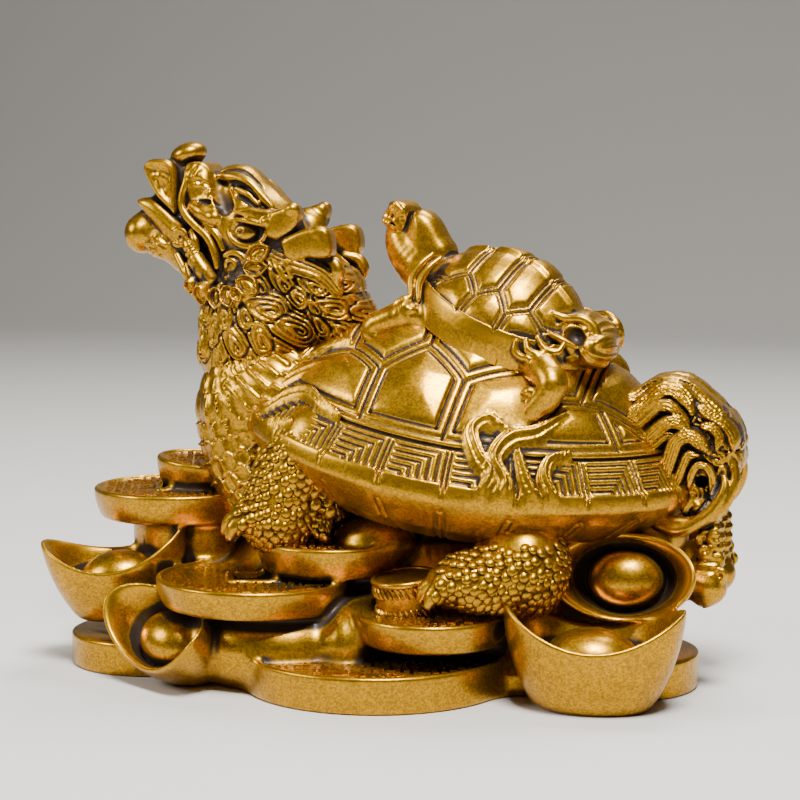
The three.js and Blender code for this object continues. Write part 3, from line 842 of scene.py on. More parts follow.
def swirl_map(swirls, low, high, pitch, deep):
    """Heights over a flat grid of hair that runs into curls. Each has a place, size, hand and root angle."""
    s, z = map_axes(low, high)
    best = np.full((s.size, z.size), 9.0)
    second = best.copy()
    height = np.zeros_like(best)
    for at_s, at_z, size, hand, root in swirls:
        turn = math.radians(root)
        along = (s - at_s) * math.cos(turn) + (z - at_z) * math.sin(turn)
        across = hand * ((z - at_z) * math.cos(turn) - (s - at_s) * math.sin(turn))
        along = np.where(along > 0, 0.36 * along, along)
        out = np.sqrt(along**2 + across**2)
        share = out / size
        waves = np.cos(2 * math.pi * (out / pitch - np.arctan2(across, along) / (2 * math.pi)))
        dome = 0.34 * size * np.sqrt(np.maximum(1 - 0.8 * share**2, 0)) - 0.4 * groove(out, 0.4)
        nearer = share < best
        second = np.where(nearer, best, np.minimum(second, share))
        height = np.where(nearer, dome + deep * waves * ease(1.6, 1.1, share), height)
        best = np.where(nearer, share, best)
    height -= 0.5 * groove((second - best) / 0.1, 1.0)
    return (height * ease(2.6, 1.7, best)).astype(np.float32)


def lay_map(clay, heights, low, place, strength, levels):
    """Raises the clay between two levels by a flat map, whose axes are place(x, y) and Z."""
    rows = [int(round((level - clay.low[2]) / clay.step)) for level in levels]
    floor, top = np.minimum(rows, clay.depth.shape[2])
    x, y, z = clay.axis(0), clay.axis(1), clay.axis(2, floor, top)
    first = ((place(x, y) - low[0]) / MAP_STEP).clip(0, heights.shape[0] - 1.01)
    second = ((z - low[1]) / MAP_STEP).clip(0, heights.shape[1] - 1).astype(int)
    i = first.astype(int)
    part = (first - i).astype(np.float32)
    height = heights[i, second] * (1 - part) + heights[i + 1, second] * part
    clay.depth[:, :, floor:top] -= height * strength(x, y, z)


def surface(clay, x, z, side, first=30.0):
    """The outermost place of the clay at x and z on one flank, and the way out of it."""
    reach = np.arange(first, 0, -clay.step / 2)
    points = np.stack([np.full(reach.shape, float(x)), side * reach, np.full(reach.shape, float(z))], axis=1)
    inside = clay.sample(points) < 0
    at = points[np.argmax(inside)] if inside.any() else points[-1]
    step = 1.2
    moves = np.array([(step, 0, 0), (0, step, 0), (0, 0, step)])
    outward = np.array([clay.sample(np.array([at + move, at - move])) @ (1, -1) for move in moves])
    return at, outward / max(np.linalg.norm(outward), 1e-6)


# Neck, legs and feet


def neck_relief(along, angle):
    """Belly plates up the front of the neck, scales on its flanks."""
    front = ease(0.95, 0.72, np.abs(angle))
    belly_plate = 3.6
    rise = along / belly_plate - np.floor(along / belly_plate)
    plate = 0.8 * ease(0.0, 0.75, rise) * ease(1.0, 0.86, rise)
    scaly_flank = (1 - front) * 0.75 * scales(along, angle * 12, 3.4)
    return front * plate + scaly_flank - 0.5 * groove(np.abs(angle) - 0.84, 0.07)


def foot(at, heading, side, length=18, width=15, height=12):
    """A foot with three toes, each a round knuckle with a short bent claw. It points towards the head."""
    forms = [bead(at, (length / 2, width / 2, height / 2), yaw=-heading * side)]
    for spread in (-38, 0, 38):
        angle = math.radians(180 - heading + spread) * side
        ahead = np.array((math.cos(angle), math.sin(angle), 0))
        heel, knuckle = np.array(at) + 3.5 * ahead, np.array(at) + 7.0 * ahead + (0, 0, -0.4)
        claw = knuckle + 3.0 * ahead + (0, 0, -1.4)
        tip = knuckle + 4.4 * ahead + (0, 0, -3.6)
        forms.append(limb([heel, knuckle], [2.7, 2.9], steps=2))
        forms.append(limb([knuckle, claw, tip], [2.3, 1.9, 1.0], steps=5))
        forms.append(bead(knuckle + 0.6 * ahead + (0, 0, 1.2), (2.0, 2.0, 1.9)))
    return forms


def model_body():
    clay = Clay((-56, -44, 14), (60, 44, 84), STEP["body"])
    throat = [(-20, 0, 34), (-31, 0, 44), (-36, 0, 58), (-35, 0, 70)]
    nape = [(-14, 0, 54), (-27, 0, 61), (-31, 0, 72)]
    clay.add(limb(throat, [14, 12.5, 11.3, 8], wide=1.36, relief=neck_relief), 2)
    clay.add(limb(nape, [16.5, 14.6, 9], wide=1.2, relief=scaly(15, 3.4, 0.6)), 3)
    for side in (-1, 1):
        fore = [(-12, 19 * side, 53), (-19, 21 * side, 44), (-21.5, 22.5 * side, 36)]
        clay.add(limb(fore, [10.0, 8.6, 7.7]), 2)
        clay.add(bead((33.5, 25 * side, 28.6), (9.8, 9.2, 11), yaw=12 * side), 2)
        clay.add(limb([(34, 27 * side, 27.6), (26, 30.5 * side, 26)], [8.2, 6.6]), 2)
        for form in foot((-22, 22.5 * side, 37), 8, side) + foot((24.4, 31 * side, 26), 8, side):
            clay.add(form, 0.9)
        for k, (x, z) in enumerate([(-7, 46), (-10, 41), (-12, 36)]):
            spin = (-60 + 18 * k) * side
            clay.add(petal((x, (26 - k) * side, z), (0.3, side, 0), 4.2, 2.4, 1.5, spin), 0.6)
    return clay


# Head and mane


def head_masses():
    """The forms of the head that run across it."""
    lower_lip = [(-61.6, 105.0), (-59.3, 105.7), (-56.4, 105.0), (-53.8, 103.2), (-50.8, 100.8),
                 (-48.2, 99.4), (-46.8, 97.2), (-47.4, 95.1), (-49.5, 94.3), (-52.4, 95.5), (-54.5, 97.2),
                 (-56.6, 99.2), (-58.8, 101.3), (-61.2, 104)]
    muzzle = [(-49.4, 110.8), (-48.2, 113.4), (-44.8, 113.6), (-42.7, 111.8), (-41.4, 109.9), (-40.6, 107.9),
              (-40.3, 105.2), (-40.2, 101.5), (-43.5, 99.2), (-46.5, 100.8), (-48.2, 103), (-49.2, 106)]
    flap = [(-58.9, 112.2), (-57.9, 113.9), (-55.6, 114.4), (-52.6, 113.9), (-51.0, 111.5), (-51.0, 105.7),
            (-51.3, 101.9), (-53.0, 103.3), (-55.3, 105.5), (-56.9, 107.8), (-58.2, 110.3)]
    crest = [(-42.2, 110.2), (-41.0, 112.3), (-38.0, 113.2), (-34.4, 112.5), (-31.2, 109.8), (-28.7, 106.9),
             (-26.8, 104.7), (-24.5, 102.4), (-27, 100.5), (-33, 101), (-38, 102.5), (-40, 106),
             (-40.8, 108.8)]

    def flap_relief(out, x, z):
        return 0.5 * groove(out + 0.7, 0.5) - ease(-1.1, -2.0, out) * (0.3 - 0.32 * rough(x, z, 3.2))

    def crest_relief(out, x, z):
        bands = np.cos(2 * math.pi * (-out / 2.3 - 0.1))
        return -edge_drop(out, 2.0, 1.6) + 0.7 * bands * ease(-0.2, -1.0, out) + 0.5 * np.maximum(-out, 0)

    def muzzle_relief(out, x, z):
        wrinkled = groove(x + 0.9 * (z - 110) + 45, 1.9) * ease(106.5, 108, z)
        return -edge_drop(out, 2.2, 1.5) + 0.5 * wrinkled * rough(x, z, 2.6)

    return [
        (2, bead((-35, 0, 98), (12, 10.2, 10), pitch=36)),
        (1.5, limb([(-36, 0, 100), (-42, 0, 102.6), (-47, 0, 106.4)], [9.3, 7.4, 4.6], wide=1.08)),
        (0.8, slab(muzzle, 0, 7.6, relief=muzzle_relief)),
        (0.4, slab(flap, 0, 5.6, soft=0.6, relief=flap_relief)),
        (1, limb([(-51.5, 0, 112.6), (-49.6, 0, 110), (-48.6, 0, 106)], [2.4, 2.6, 2.2], wide=1.3)),
        (0.4, bead((-49.9, 0, 115.4), (4.3, 4.3, 2.7), pitch=-18)),
        (1.2, limb([(-36, 0, 91), (-46, 0, 91.4), (-54, 0, 95.6), (-59.6, 0, 101)], [8, 5.6, 4.2, 2.4],
                   wide=1.2)),
        (1.6, bead((-61.4, 0, 97.4), (4.0, 5.2, 4.6))),
        (1.2, bead((-55, 0, 95), (5, 5.4, 3.6), relief=lambda x, y, z: 0.45 * rough(x, z, 2.2))),
        (0.5, slab(lower_lip, 0, 7.6, relief=pillow(1.5, 1.1, narrow=-49.5))),
        (0.8, limb([(-44, 0, 97.5), (-52, 0, 101.6), (-57.5, 0, 105.6)], [3.2, 2.4, 1.1], wide=1.5)),
        (0.8, slab(crest, 0, 4.4, soft=1.2, relief=crest_relief)),
        (1.5, bead((-31, 0, 102), (9, 7.6, 5.5), pitch=30)),
    ]


def head_flank(side):
    """One flank of the head: eye socket, brow, horns, lips, cheek, whorl and jaw end."""

    def creased(along, angle):
        return -0.4 * groove(along - 1.6, 0.35) - 0.4 * groove(along - 3.1, 0.35)

    lip = [(-48.2, 6.0, 111.4), (-48.1, 6.9, 109), (-48.9, 7.3, 106.2), (-48.9, 7.6, 104),
           (-47.7, 8.1, 101.8), (-45.2, 8.8, 99.4), (-42.6, 9.5, 97.4), (-41.0, 9.9, 95.2),
           (-40.0, 10.3, 92.6), (-39.6, 10.4, 90.2)]
    brow = [(-35.4, 102.3), (-32.4, 103.6), (-29.2, 103.2), (-26.6, 102.8), (-25.8, 101.0), (-27.6, 99.7),
            (-28.8, 100.1), (-31.5, 101.2)]
    upper_horn = [(-26.6, 102.2), (-24.3, 103.3), (-21.3, 104.2), (-19.9, 103.5), (-19.6, 101.7),
                  (-20.9, 98.6), (-24.5, 96.6), (-26.9, 97.1), (-27.6, 98.6)]
    lower_horn = [(-23.8, 96.1), (-20.1, 98.2), (-16.4, 99.4), (-13.6, 99.3), (-12.1, 97.3), (-12.2, 93.1),
                  (-15.0, 92.4), (-17.3, 92.6), (-20.2, 91.8), (-22.8, 92.8)]
    return [
        (1.4, bead((-41.5, 6.6 * side, 103), (4.4, 2.8, 3.4))),
        (0.5, limb([(-46.2, 7.0, 103.6), (-43.6, 8.2, 102.3), (-41.2, 8.7, 101.3)], [1.5, 1.9, 1.8], side)),
        (0.4, bead((-40.6, 9.0 * side, 101.1), (2.0, 1.9, 1.9))),
        (0.4, limb([(-43.6, 6.9, 105.9), (-42.4, 7.4, 106.6), (-41.2, 7.0, 107.8)], [0.5, 0.8, 0.5], side)),
        (0.3, limb(lip, [0.5, 0.85, 0.8, 0.8, 0.9, 0.9, 0.9, 0.9, 0.8, 0.6], side, steps=30)),
        (0.4, limb([(-44.6, 7.9, 101), (-42, 9.0, 99.3), (-39.6, 9.7, 97.0), (-38.3, 10, 94.2)],
                   [0.6, 0.8, 0.8, 0.6], side)),
        (0.3, limb(arc_path((-49.6, 96.7), 1.75, -130, 130, 7.2 * side, 9), [0.7, 0.75, 0.75, 0.6],
                   steps=16)),
        (0.3, limb([(-46.3, 7.8, 98.0), (-45.3, 9.0, 96.2), (-44.4, 9.4, 94.2)], [0.9, 0.9, 0.5], side)),
        (0.3, limb([(-47.2, 8.0, 95.2), (-45.0, 9.2, 92.0), (-42.8, 9.9, 89.2), (-41.2, 10.1, 87.6)],
                   [1.5, 2.0, 2.1, 1.8], side,
                   relief=creased)),
        (0.3, limb([(-47.4, 8.6, 90.8), (-45.6, 9.8, 87.6), (-43.0, 10.6, 85.3), (-40.2, 10.8, 84.9),
                    (-38.4, 10.8, 86.4)],
                   [0.6, 0.85, 0.9, 0.9, 0.6], side)),
        (0.4, limb([(-50.5, 6.6, 92.6), (-47.6, 8.2, 88.6), (-44.6, 9.2, 85.9)], [0.9, 1.1, 0.7], side)),
        (0.5, bead((-35.6, 9.6 * side, 90.4), (2.6, 1.7, 3.2))),
        (0.3, limb(arc_path((-35.5, 90.4), 3.1, 128, -122, 10.9 * side, 9), [0.6, 0.85, 0.85, 0.85, 0.6],
                   steps=20)),
        (0.3, limb(arc_path((-36.0, 90.7), 1.25, 200, -60, 11.3 * side, 7), [0.4, 0.55, 0.55, 0.4],
                   steps=12)),
        (0.3, limb([(-41.2, 4.6, 110.4), (-37.4, 5.4, 110.2), (-33.6, 6.2, 109.0), (-30.6, 6.8, 106.4),
                    (-27.6, 7.4, 103.6)],
                   [0.7, 1.2, 1.3, 1.2, 0.8], side)),
        (0.3, limb([(-36.0, 6.6, 107.7), (-33.2, 7.2, 106.4), (-30.8, 7.8, 104.2)], [0.7, 1.1, 0.8], side)),
        (0.3, limb([(-36.8, 7.0, 105.4), (-34.4, 7.8, 104.6), (-32.2, 8.4, 103.2)], [0.6, 0.9, 0.6], side)),
        (0.5, slab(brow, 9.6, 2.4, side, soft=0.6, relief=pillow(0.3, 0.5))),
        (0.4, bead((-27.4, 11.4 * side, 100.4), (1.5, 1.4, 1.3))),
        (0.5, slab(upper_horn, 10.2, 2.7, side, soft=0.9, lean=0.06, relief=pillow(0.5, 0.8))),
        (0.5, bead((-21.3, 12.0 * side, 103.2), (1.7, 1.6, 1.5))),
        (1.2, bead((-24.5, 8 * side, 98), (5, 3.6, 5))),
        (0.5, slab(lower_horn, 11.0, 3.0, side, soft=0.9, lean=0.04, relief=pillow(0.6, 0.9))),
        (0.5, bead((-15.2, 12.6 * side, 97.9), (1.9, 1.7, 1.6))),
        (0.6, limb([(-26.0, 9.6, 92.4), (-20.4, 10.6, 91.2), (-15.6, 10.2, 88.6), (-12.4, 9.4, 85.4)],
                   [2.2, 2.9, 2.6, 1.8], side,
                   relief=combed(15, 0.3, 0.25))),
        (0.4, limb([(-15.4, 9.0, 92.2), (-12.6, 9.6, 91.4), (-11.6, 9.8, 89.6), (-12.2, 9.6, 87.6),
                    (-14.8, 9.0, 86.6)],
                   [1.2, 1.5, 1.7, 1.4, 0.7], side, steps=14)),
        (0.4, limb([(-21.4, 10.6, 91.6), (-19.2, 11.6, 91.4), (-17.6, 11.8, 89.6), (-15.6, 11.2, 88.2)],
                   [0.8, 1.3, 1.2, 0.7], side)),
        (0.3, limb([(-24.6, 11, 93), (-22.6, 12.2, 91.2), (-21.4, 12.6, 88.4)], [0.6, 1.0, 0.6], side)),
        (0.3, limb([(-26.2, 11, 92.6), (-24.4, 12.2, 90.2), (-22.8, 12.8, 87.6)], [0.5, 0.9, 0.5], side)),
    ]


def head_cuts(side):
    """The hollows of the eye, the nostril and the corner of the mouth, and lines behind the brow."""
    return [
        (0.3, limb([(-44.3, 8.1, 104.9), (-42.2, 8.4, 104.5), (-40.0, 7.6, 103.9)], [0.5, 0.8, 0.6], side)),
        (0.6, limb([(-41.4, 6.4, 111), (-39.8, 7.4, 107.4), (-38.0, 8.6, 103.4)], [1.3, 2.0, 2.0], side)),
        (0.6, bead((-32.2, 12.2 * side, 97.9), (4.3, 3.4, 3.1), pitch=10)),
        (0.3, bead((-49.5, 8.6 * side, 96.7), (0.9, 1.7, 0.9))),
        (0.3, limb([(-39.2, 5.8, 108.6), (-36.2, 6.4, 108.9), (-33.2, 7.0, 107.7), (-31.0, 7.6, 105.6)],
                   [0.5, 0.8, 0.8, 0.5], side)),
        (0.3, limb([(-35.4, 7.6, 106.0), (-33.2, 8.2, 105.1), (-31.0, 8.6, 103.4)], [0.5, 0.7, 0.5], side)),
    ]


def eye(side):
    """The eyeball, its lower lid and its upper lid."""
    lid = [(-36.9, 9.6, 99.2), (-36.3, 10.4, 97.0), (-33.8, 11.0, 95.2), (-31.0, 11.2, 94.9),
           (-28.5, 11.2, 96.3), (-27.4, 11, 98.8)]
    return [
        (0.2, bead((-33.0, 8.2 * side, 97.8), (3.3, 2.6, 2.7))),
        (0.3, limb(lid, [0.5, 0.65, 0.7, 0.65, 0.5], side, steps=15)),
        (0.3, limb([(-35.6, 10.0, 100.9), (-32.0, 11.6, 100.7), (-28.2, 11.8, 99.8)], [0.5, 0.7, 0.6],
                   side)),
    ]


PETALS = [
    # The middle of each petal behind the jaw, x and z in mm, its half length, and its turn in degrees.
    (-29.0, 93.5, 2.5, 118), (-29.6, 90.3, 2.4, 94), (-31.0, 86.1, 2.6, 55), (-35.7, 83.5, 2.3, 20),
    (-39.1, 83.2, 2.2, 2), (-42.6, 84.4, 2.3, -12), (-33.4, 84.2, 1.7, 36), (-45.6, 86.2, 1.9, -22),
]
CURLS = [
    # Place round and up the mane, size, hand and the way its hair comes from.
    (-25.1, 80.6, 4.3, 1, 165), (-19.5, 76.0, 4.3, 1, 150), (-11.3, 81.1, 3.5, 1, 170),
    (-33.2, 72.2, 3.0, 1, 120), (-27.2, 73.3, 3.0, -1, 110), (-42.9, 78.9, 2.5, 1, 80),
    (-39.9, 74.3, 2.4, -1, 90), (-46.2, 83.8, 2.4, 1, 70), (-19.2, 82.9, 2.6, -1, 140),
    (-14.9, 85.5, 2.4, 1, 150), (-6.4, 80.0, 2.2, -1, 160), (-22.5, 86.0, 2.3, 1, 130),
    (-36.5, 78.0, 2.6, 1, 95), (-31.0, 78.4, 2.4, -1, 110), (-47.0, 77.5, 2.4, -1, 90),
    (-50.5, 81.5, 2.6, 1, 80), (-54.3, 84.0, 2.4, -1, 90), (-51.5, 75.5, 2.5, 1, 90),
    (-45.5, 71.5, 2.5, 1, 90), (-38.0, 69.6, 2.5, 1, 95), (-22.5, 70.4, 2.8, 1, 130),
    (-15.0, 76.6, 2.4, -1, 120), (-9.5, 75.6, 2.4, 1, 140), (-15.8, 80.6, 2.0, 1, 120),
    (-28.0, 85.2, 1.9, 1, 120), (-30.5, 67.0, 2.6, -1, 100), (-51.5, 70.0, 2.4, -1, 90),
    (-54.4, 78.0, 2.2, 1, 90), (-24.0, 90.2, 2.0, -1, 130), (-17.5, 89.0, 2.2, 1, 140),
    (-10.5, 86.5, 2.2, -1, 150), (-36.8, 65.8, 2.4, 1, 90),
]


MANE_FRONT = -31.6
MANE_RADIUS = 14.5


def round_mane(x, y):
    """The distance round the mane: X on its flank, then on round its front."""
    front = MANE_FRONT - MANE_RADIUS * (math.pi / 2 - np.arctan2(np.abs(y), MANE_FRONT - x))
    return np.where(x > MANE_FRONT, x + 0 * y, front)


def model_head():
    clay = Clay((-68, -19, 60), (0, 19, 119), STEP["head"])
    clay.add(limb([(-33.4, 0, 70), (-31.5, 0, 77), (-31, 0, 88)], [13.2, 14.6, 12.4]), 1)
    clay.add(limb([(-27, 0, 92), (-18, 0, 84), (-11, 0, 75)], [8.6, 8.8, 6.4], wide=1.35), 2)
    low, high = (-56, 62), (-2, 95)
    curls = swirl_map(CURLS, low, high, pitch=0.98, deep=0.3)
    full = lambda x, y, z: ease(0.2, 1.6, np.abs(y)) * ease(93, 90, z)
    lay_map(clay, curls, low, round_mane, full, levels=(60, 95.5))
    clay.add_all(head_masses())
    for side in (-1, 1):
        clay.add_all(head_flank(side))
        clay.cut_all(head_cuts(side))
        clay.add_all(eye(side))
        clay.cut(bead((-34.2, 10.9 * side, 98.2), (0.8, 0.9, 0.8)), 0.3)
        for x, z, long, spin in PETALS:
            at, outward = surface(clay, x, z, side)
            outward = outward + (0, 0.6 * side, 0)
            clay.add(petal(at, outward, 1.2 * long, 0.92 * long, 1.7, spin=-spin * side), 0.2)
    return clay


# Tail plume

PLUME = [
    # Ways of the plume's locks seen from the flank, x and z in millimetres, their half width and rise.
    ([(43, 61.5), (47, 59.6), (50.4, 58.4), (54, 59.6), (57.2, 62.6), (60.1, 65.1), (62.8, 65.4),
      (65.5, 63.2), (66.9, 60.4)], 1.9, 1.2),
    ([(46, 57.8), (51, 56.8), (54.6, 57.2), (57.8, 60.0), (60.3, 62.0), (62.8, 61.4), (64.9, 58.8),
      (66.4, 56.4)], 1.5, 0.9),
    ([(49, 63.4), (54, 63.4), (58, 66.0), (63.0, 66.6), (67.0, 65.0), (70.6, 61.6), (73.4, 59.8)], 1.5, 0.6),
    ([(44, 52.4), (48, 51.4), (52.2, 52.3), (56.5, 53.8), (59.3, 56.4), (61.8, 58.2), (64, 58.2),
      (66, 56.2)], 1.7, 1.3),
    ([(46, 48.6), (51, 48.6), (55.6, 50.4), (59, 53.4), (61.6, 55.4), (64, 54.8)], 1.3, 0.9),
    ([(55.6, 42.4), (58.8, 43.8), (61.0, 46.6), (62.4, 50.6), (63.7, 54.2), (66.2, 55.5), (68.6, 54.2),
      (70.7, 52.0)], 1.8, 1.4),
    ([(60.6, 42.0), (63.4, 44.8), (65.0, 48.6), (66.2, 51.2), (68.4, 51.4)], 1.2, 1.0),
    ([(66.4, 43.4), (66.8, 46.6), (68.2, 49.2), (70.2, 48.9), (71.3, 46.6), (70.9, 42.9)], 0.9, 1.3),
    ([(67.5, 62.0), (70.5, 60.0), (73.2, 58.4), (75.4, 55.6), (75.6, 52.6)], 1.3, 1.0),
    ([(68.4, 57.6), (70.8, 57.4), (72.6, 55.4), (72.2, 52.8)], 1.1, 1.0),
]
PLUME_CURLS = [
    # Place of each curl, x and z, its size, hand and the way its hair comes from.
    (69.3, 60.6, 2.2, 1, 140), (72.3, 57.0, 2.2, -1, 120), (74.9, 53.6, 2.3, 1, 110),
    (69.2, 55.0, 2.0, -1, 150), (72.6, 50.4, 2.2, 1, 160), (75.4, 49.6, 1.9, -1, 100),
    (66.0, 59.4, 1.9, 1, 170), (69.4, 46.2, 1.6, -1, 120), (73.4, 46.2, 2.0, 1, 90),
    (66.6, 65.0, 1.8, -1, 160), (64.8, 51.2, 1.8, 1, 180), (60.2, 47.6, 2.0, -1, 190),
    (57.2, 57.6, 2.2, -1, 180), (54.6, 54.8, 2.0, 1, 180), (62.6, 62.6, 2.0, 1, 190),
    (50.6, 61.6, 2.2, -1, 180), (49.6, 54.6, 2.2, 1, 180), (57.0, 47.2, 2.2, 1, 180),
    (52.4, 47.0, 2.4, -1, 180), (67.6, 41.6, 1.8, 1, 90),
]
PLUME_EDGE = [
    # Outline of the plume, x and z in millimetres.
    (38, 63), (47, 64.6), (54.5, 64.6), (58.8, 66.9), (63.5, 67.2), (66.1, 65.8), (69.0, 63.6),
    (72.4, 61.4), (75.0, 59.4), (76.7, 56.6), (77.2, 52.6), (77.0, 48.6), (75.2, 45.4), (72.4, 42.8),
    (70.4, 40.6), (67, 39.6), (62, 39.4), (56, 40.6), (48, 43), (38, 46),
]
TASSEL_KNOTS = [
    # The middle of each knot, x and z in millimetres.
    (69.3, 33.3), (72.0, 33.7), (70.2, 30.9), (72.6, 29.0), (69.3, 27.1), (73.4, 25.9), (71.7, 22.3),
    (68.7, 21.8),
]


def lock_map(locks, base, low, high):
    """Heights over a flat grid of combed locks that overlap, each a way with a half width and a rise."""
    x, z = map_axes(low, high)
    height = base
    for way, half, rise in locks:
        spine = smooth_path(way, 4 * (len(way) - 1))
        nearest = np.full(base.shape, 1e6)
        aside = np.zeros(base.shape)
        share = np.zeros(base.shape)
        for k, (start, end) in enumerate(zip(spine, spine[1:])):
            along, px, pz = beside_line(x, z, start, end)
            dx, dz = end - start
            out = px * px + pz * pz
            nearer = out < nearest
            nearest = np.where(nearer, out, nearest)
            aside = np.where(nearer, np.sign(px * dz - pz * dx) * np.sqrt(out), aside)
            share = np.where(nearer, (k + along) / (len(spine) - 1), share)
        half_here = half * (0.35 + 0.65 * ease(0, 0.2, share) * ease(1.0, 0.85, share))
        place = np.clip(aside / half_here, -1, 1)
        ridges = 0.26 * np.cos(2 * math.pi * place * max(round(half / 0.62), 1.5))
        lock = rise + 0.55 * half * np.sqrt(np.maximum(1 - place**2, 0)) + ridges
        inside = ease(1.0, 0.86, np.sqrt(nearest) / half_here) * ease(-0.02, 0.06, share)
        height = np.where(inside > 0, np.maximum(height, lock * inside), height)
        height = height - 0.25 * groove((np.sqrt(nearest) - 1.12 * half_here) / 0.3, 1.0) * (inside <= 0)
    return height.astype(np.float32)


def model_tail():
    """The plume, and on each flank the two strands that hold a knotted tassel."""
    clay = Clay((40, -20, 18), (79, 20, 70), STEP["tail"])

    def knotted(along, angle):
        return 0.5 * np.sin(2.1 * along + 3 * angle) * np.cos(2 * angle - 1.3 * along)

    def plume_relief(out, x, z):
        return -edge_drop(out, 4.2, 2.6) + 0.12 * np.maximum(58 - x, 0)

    clay.add(slab(PLUME_EDGE, 0, 9.6, soft=1.6, relief=plume_relief), 1)
    low, high = (38, 36), (80, 70)
    heights = lock_map(PLUME, swirl_map(PLUME_CURLS, low, high, pitch=0.95, deep=0.3), low, high)
    flanks = lambda x, y, z: ease(0.5, 3.0, np.abs(y)) * ease(38.5, 41, z)
    lay_map(clay, heights, low, lambda x, y: x + 0 * y, flanks, levels=(36, 71))
    for side in (-1, 1):
        clay.cut(limb([(68.9, 14, 45.4), (69.1, 3, 45.8)], [1.3, 1.3], side, steps=2), 0.5)
        strand = [(75.2, 7, 50.5), (76.0, 8, 46), (74.0, 9, 41.3), (70.7, 10, 38.3), (67.0, 10.6, 36.8),
                  (62, 10, 37), (57, 7, 40)]
        clay.add(limb(strand, [0.9, 1.1, 1.4, 1.5, 1.5, 1.5, 1.4], side, steps=18), 0.3)
        inner = [(73.0, 7.4, 48.0), (74.0, 9, 44.6), (72.0, 10.2, 40.6), (69.0, 11.2, 37.6),
                 (65.0, 11.4, 35.4), (60, 10, 36), (56, 7, 39)]
        clay.add(limb(inner, [0.7, 1.0, 1.2, 1.4, 1.4, 1.4, 1.2], side, steps=18), 0.3)
        tassel = [(66, 6, 41), (70, 7, 38), (71.0, 7.6, 33), (70.6, 8, 27), (69.6, 8, 21)]
        clay.add(limb(tassel, [3.4, 2.8, 2.6, 3.0, 2.6], side, relief=knotted), 0.8)
        for k, (x, z) in enumerate(TASSEL_KNOTS):
            ring = arc_path((x, z), 0.95, 60 * k, 60 * k + 250, (9.4 + 0.5 * (k % 3)) * side, 6)
            clay.add(limb(ring, [0.6, 0.8, 0.6], steps=8), 0.3)
        clay.add(limb([(60, 5, 25.5), (66, 7.4, 23.8), (70.6, 8.4, 22.9)], [3.6, 3.8, 4.1], side), 1.0)
    return clay


# The young turtle, in its shell's own axes


def young_limbs(side):
    """A foreleg that reaches down over the big shell, and a bent hind leg with three toes."""
    wrinkled = lambda x, y, z: 0.4 * rough(x, z, 2.4)
    toes = [(18.8, -7.4), (18.2, -9.8), (18.4, -12.2)]
    parts = [
        (1.0, limb([(-11, 10, -5), (-17, 13.8, -6.6), (-20.4, 15.4, -9.4), (-22.2, 16, -11.4)],
                   [3.6, 3.4, 2.9, 2.4], side)),
        (0.6, bead((-17.2, 14.2 * side, -5.6), (3.3, 2.9, 3.4), relief=wrinkled, pitch=30)),
        (0.5, limb([(-22, 15.6, -10.4), (-22.0, 16.2, -12.8), (-18.6, 16.6, -13.8)], [2.6, 2.4, 1.8], side,
                   steps=6)),
        (0.8, limb([(12, 10, -4), (18.4, 14.4, -3.2), (21.8, 16.6, -4.4), (21.9, 17.2, -8)],
                   [3.9, 3.7, 3.4, 2.8], side)),
        (0.5, limb([(21.9, 17.2, -7), (20.6, 17.6, -11), (20, 17.2, -16)], [2.9, 2.6, 2.5], side)),
    ]
    for k, (x, z) in enumerate(toes):
        ahead = [(x + 1.6, 17.6, z + 0.4), (x - 0.4, 18.4 - 0.2 * k, z - 0.1), (x - 1.5, 18.4, z - 0.9)]
        parts.append((0.3, limb(ahead, [1.3, 1.3, 0.8], side, steps=6)))
    return parts


def young_head():
    """The young turtle's neck, the hood over it and its face."""
    hood = [(-30.0, 10.8), (-29.6, 12.6), (-27.9, 13.7), (-24.6, 13.0), (-20.9, 10.4), (-18, 8.4), (-16, 3),
            (-20, -1), (-26, -1), (-29.4, 2.2), (-29.9, 6.4)]
    face = [(-35.6, 11.5), (-34.6, 13.2), (-31.8, 13.3), (-30.4, 12.0), (-29.8, 9.6), (-30.0, 6.9),
            (-31.8, 6.5), (-33.6, 6.6), (-35.9, 7.6), (-35.9, 9.6)]
    marks = lambda out, x, z: 0.5 * rough(x, z, 1.9) * ease(-0.2, -0.8, out) - edge_drop(out, 0.9, 0.8)
    return [
        (1.2, limb([(-32.4, 0, 7.6), (-29.5, 0, 4.2), (-24, 0, 1.8), (-15, 0, -0.6)], [3.3, 4.6, 5.8, 6.4])),
        (0.8, slab(hood, 0, 4.9, soft=1.6, relief=pillow(2.4, 2.0))),
        (0.3, slab(face, 0, 4.5, soft=1.0, relief=marks)),
        (0.5, bead((-35.2, 0, 8.6), (1.6, 2.2, 1.3))),
    ]


def young_face(side):
    """A brow and an eye."""
    return [
        (0.3, limb([(-35.2, 3.0, 12.0), (-33.6, 4.1, 12.6), (-31.4, 4.3, 12.0)], [0.5, 0.75, 0.5], side)),
        (0.2, bead((-33.4, 4.2 * side, 11.0), (0.9, 0.7, 0.8))),
    ]


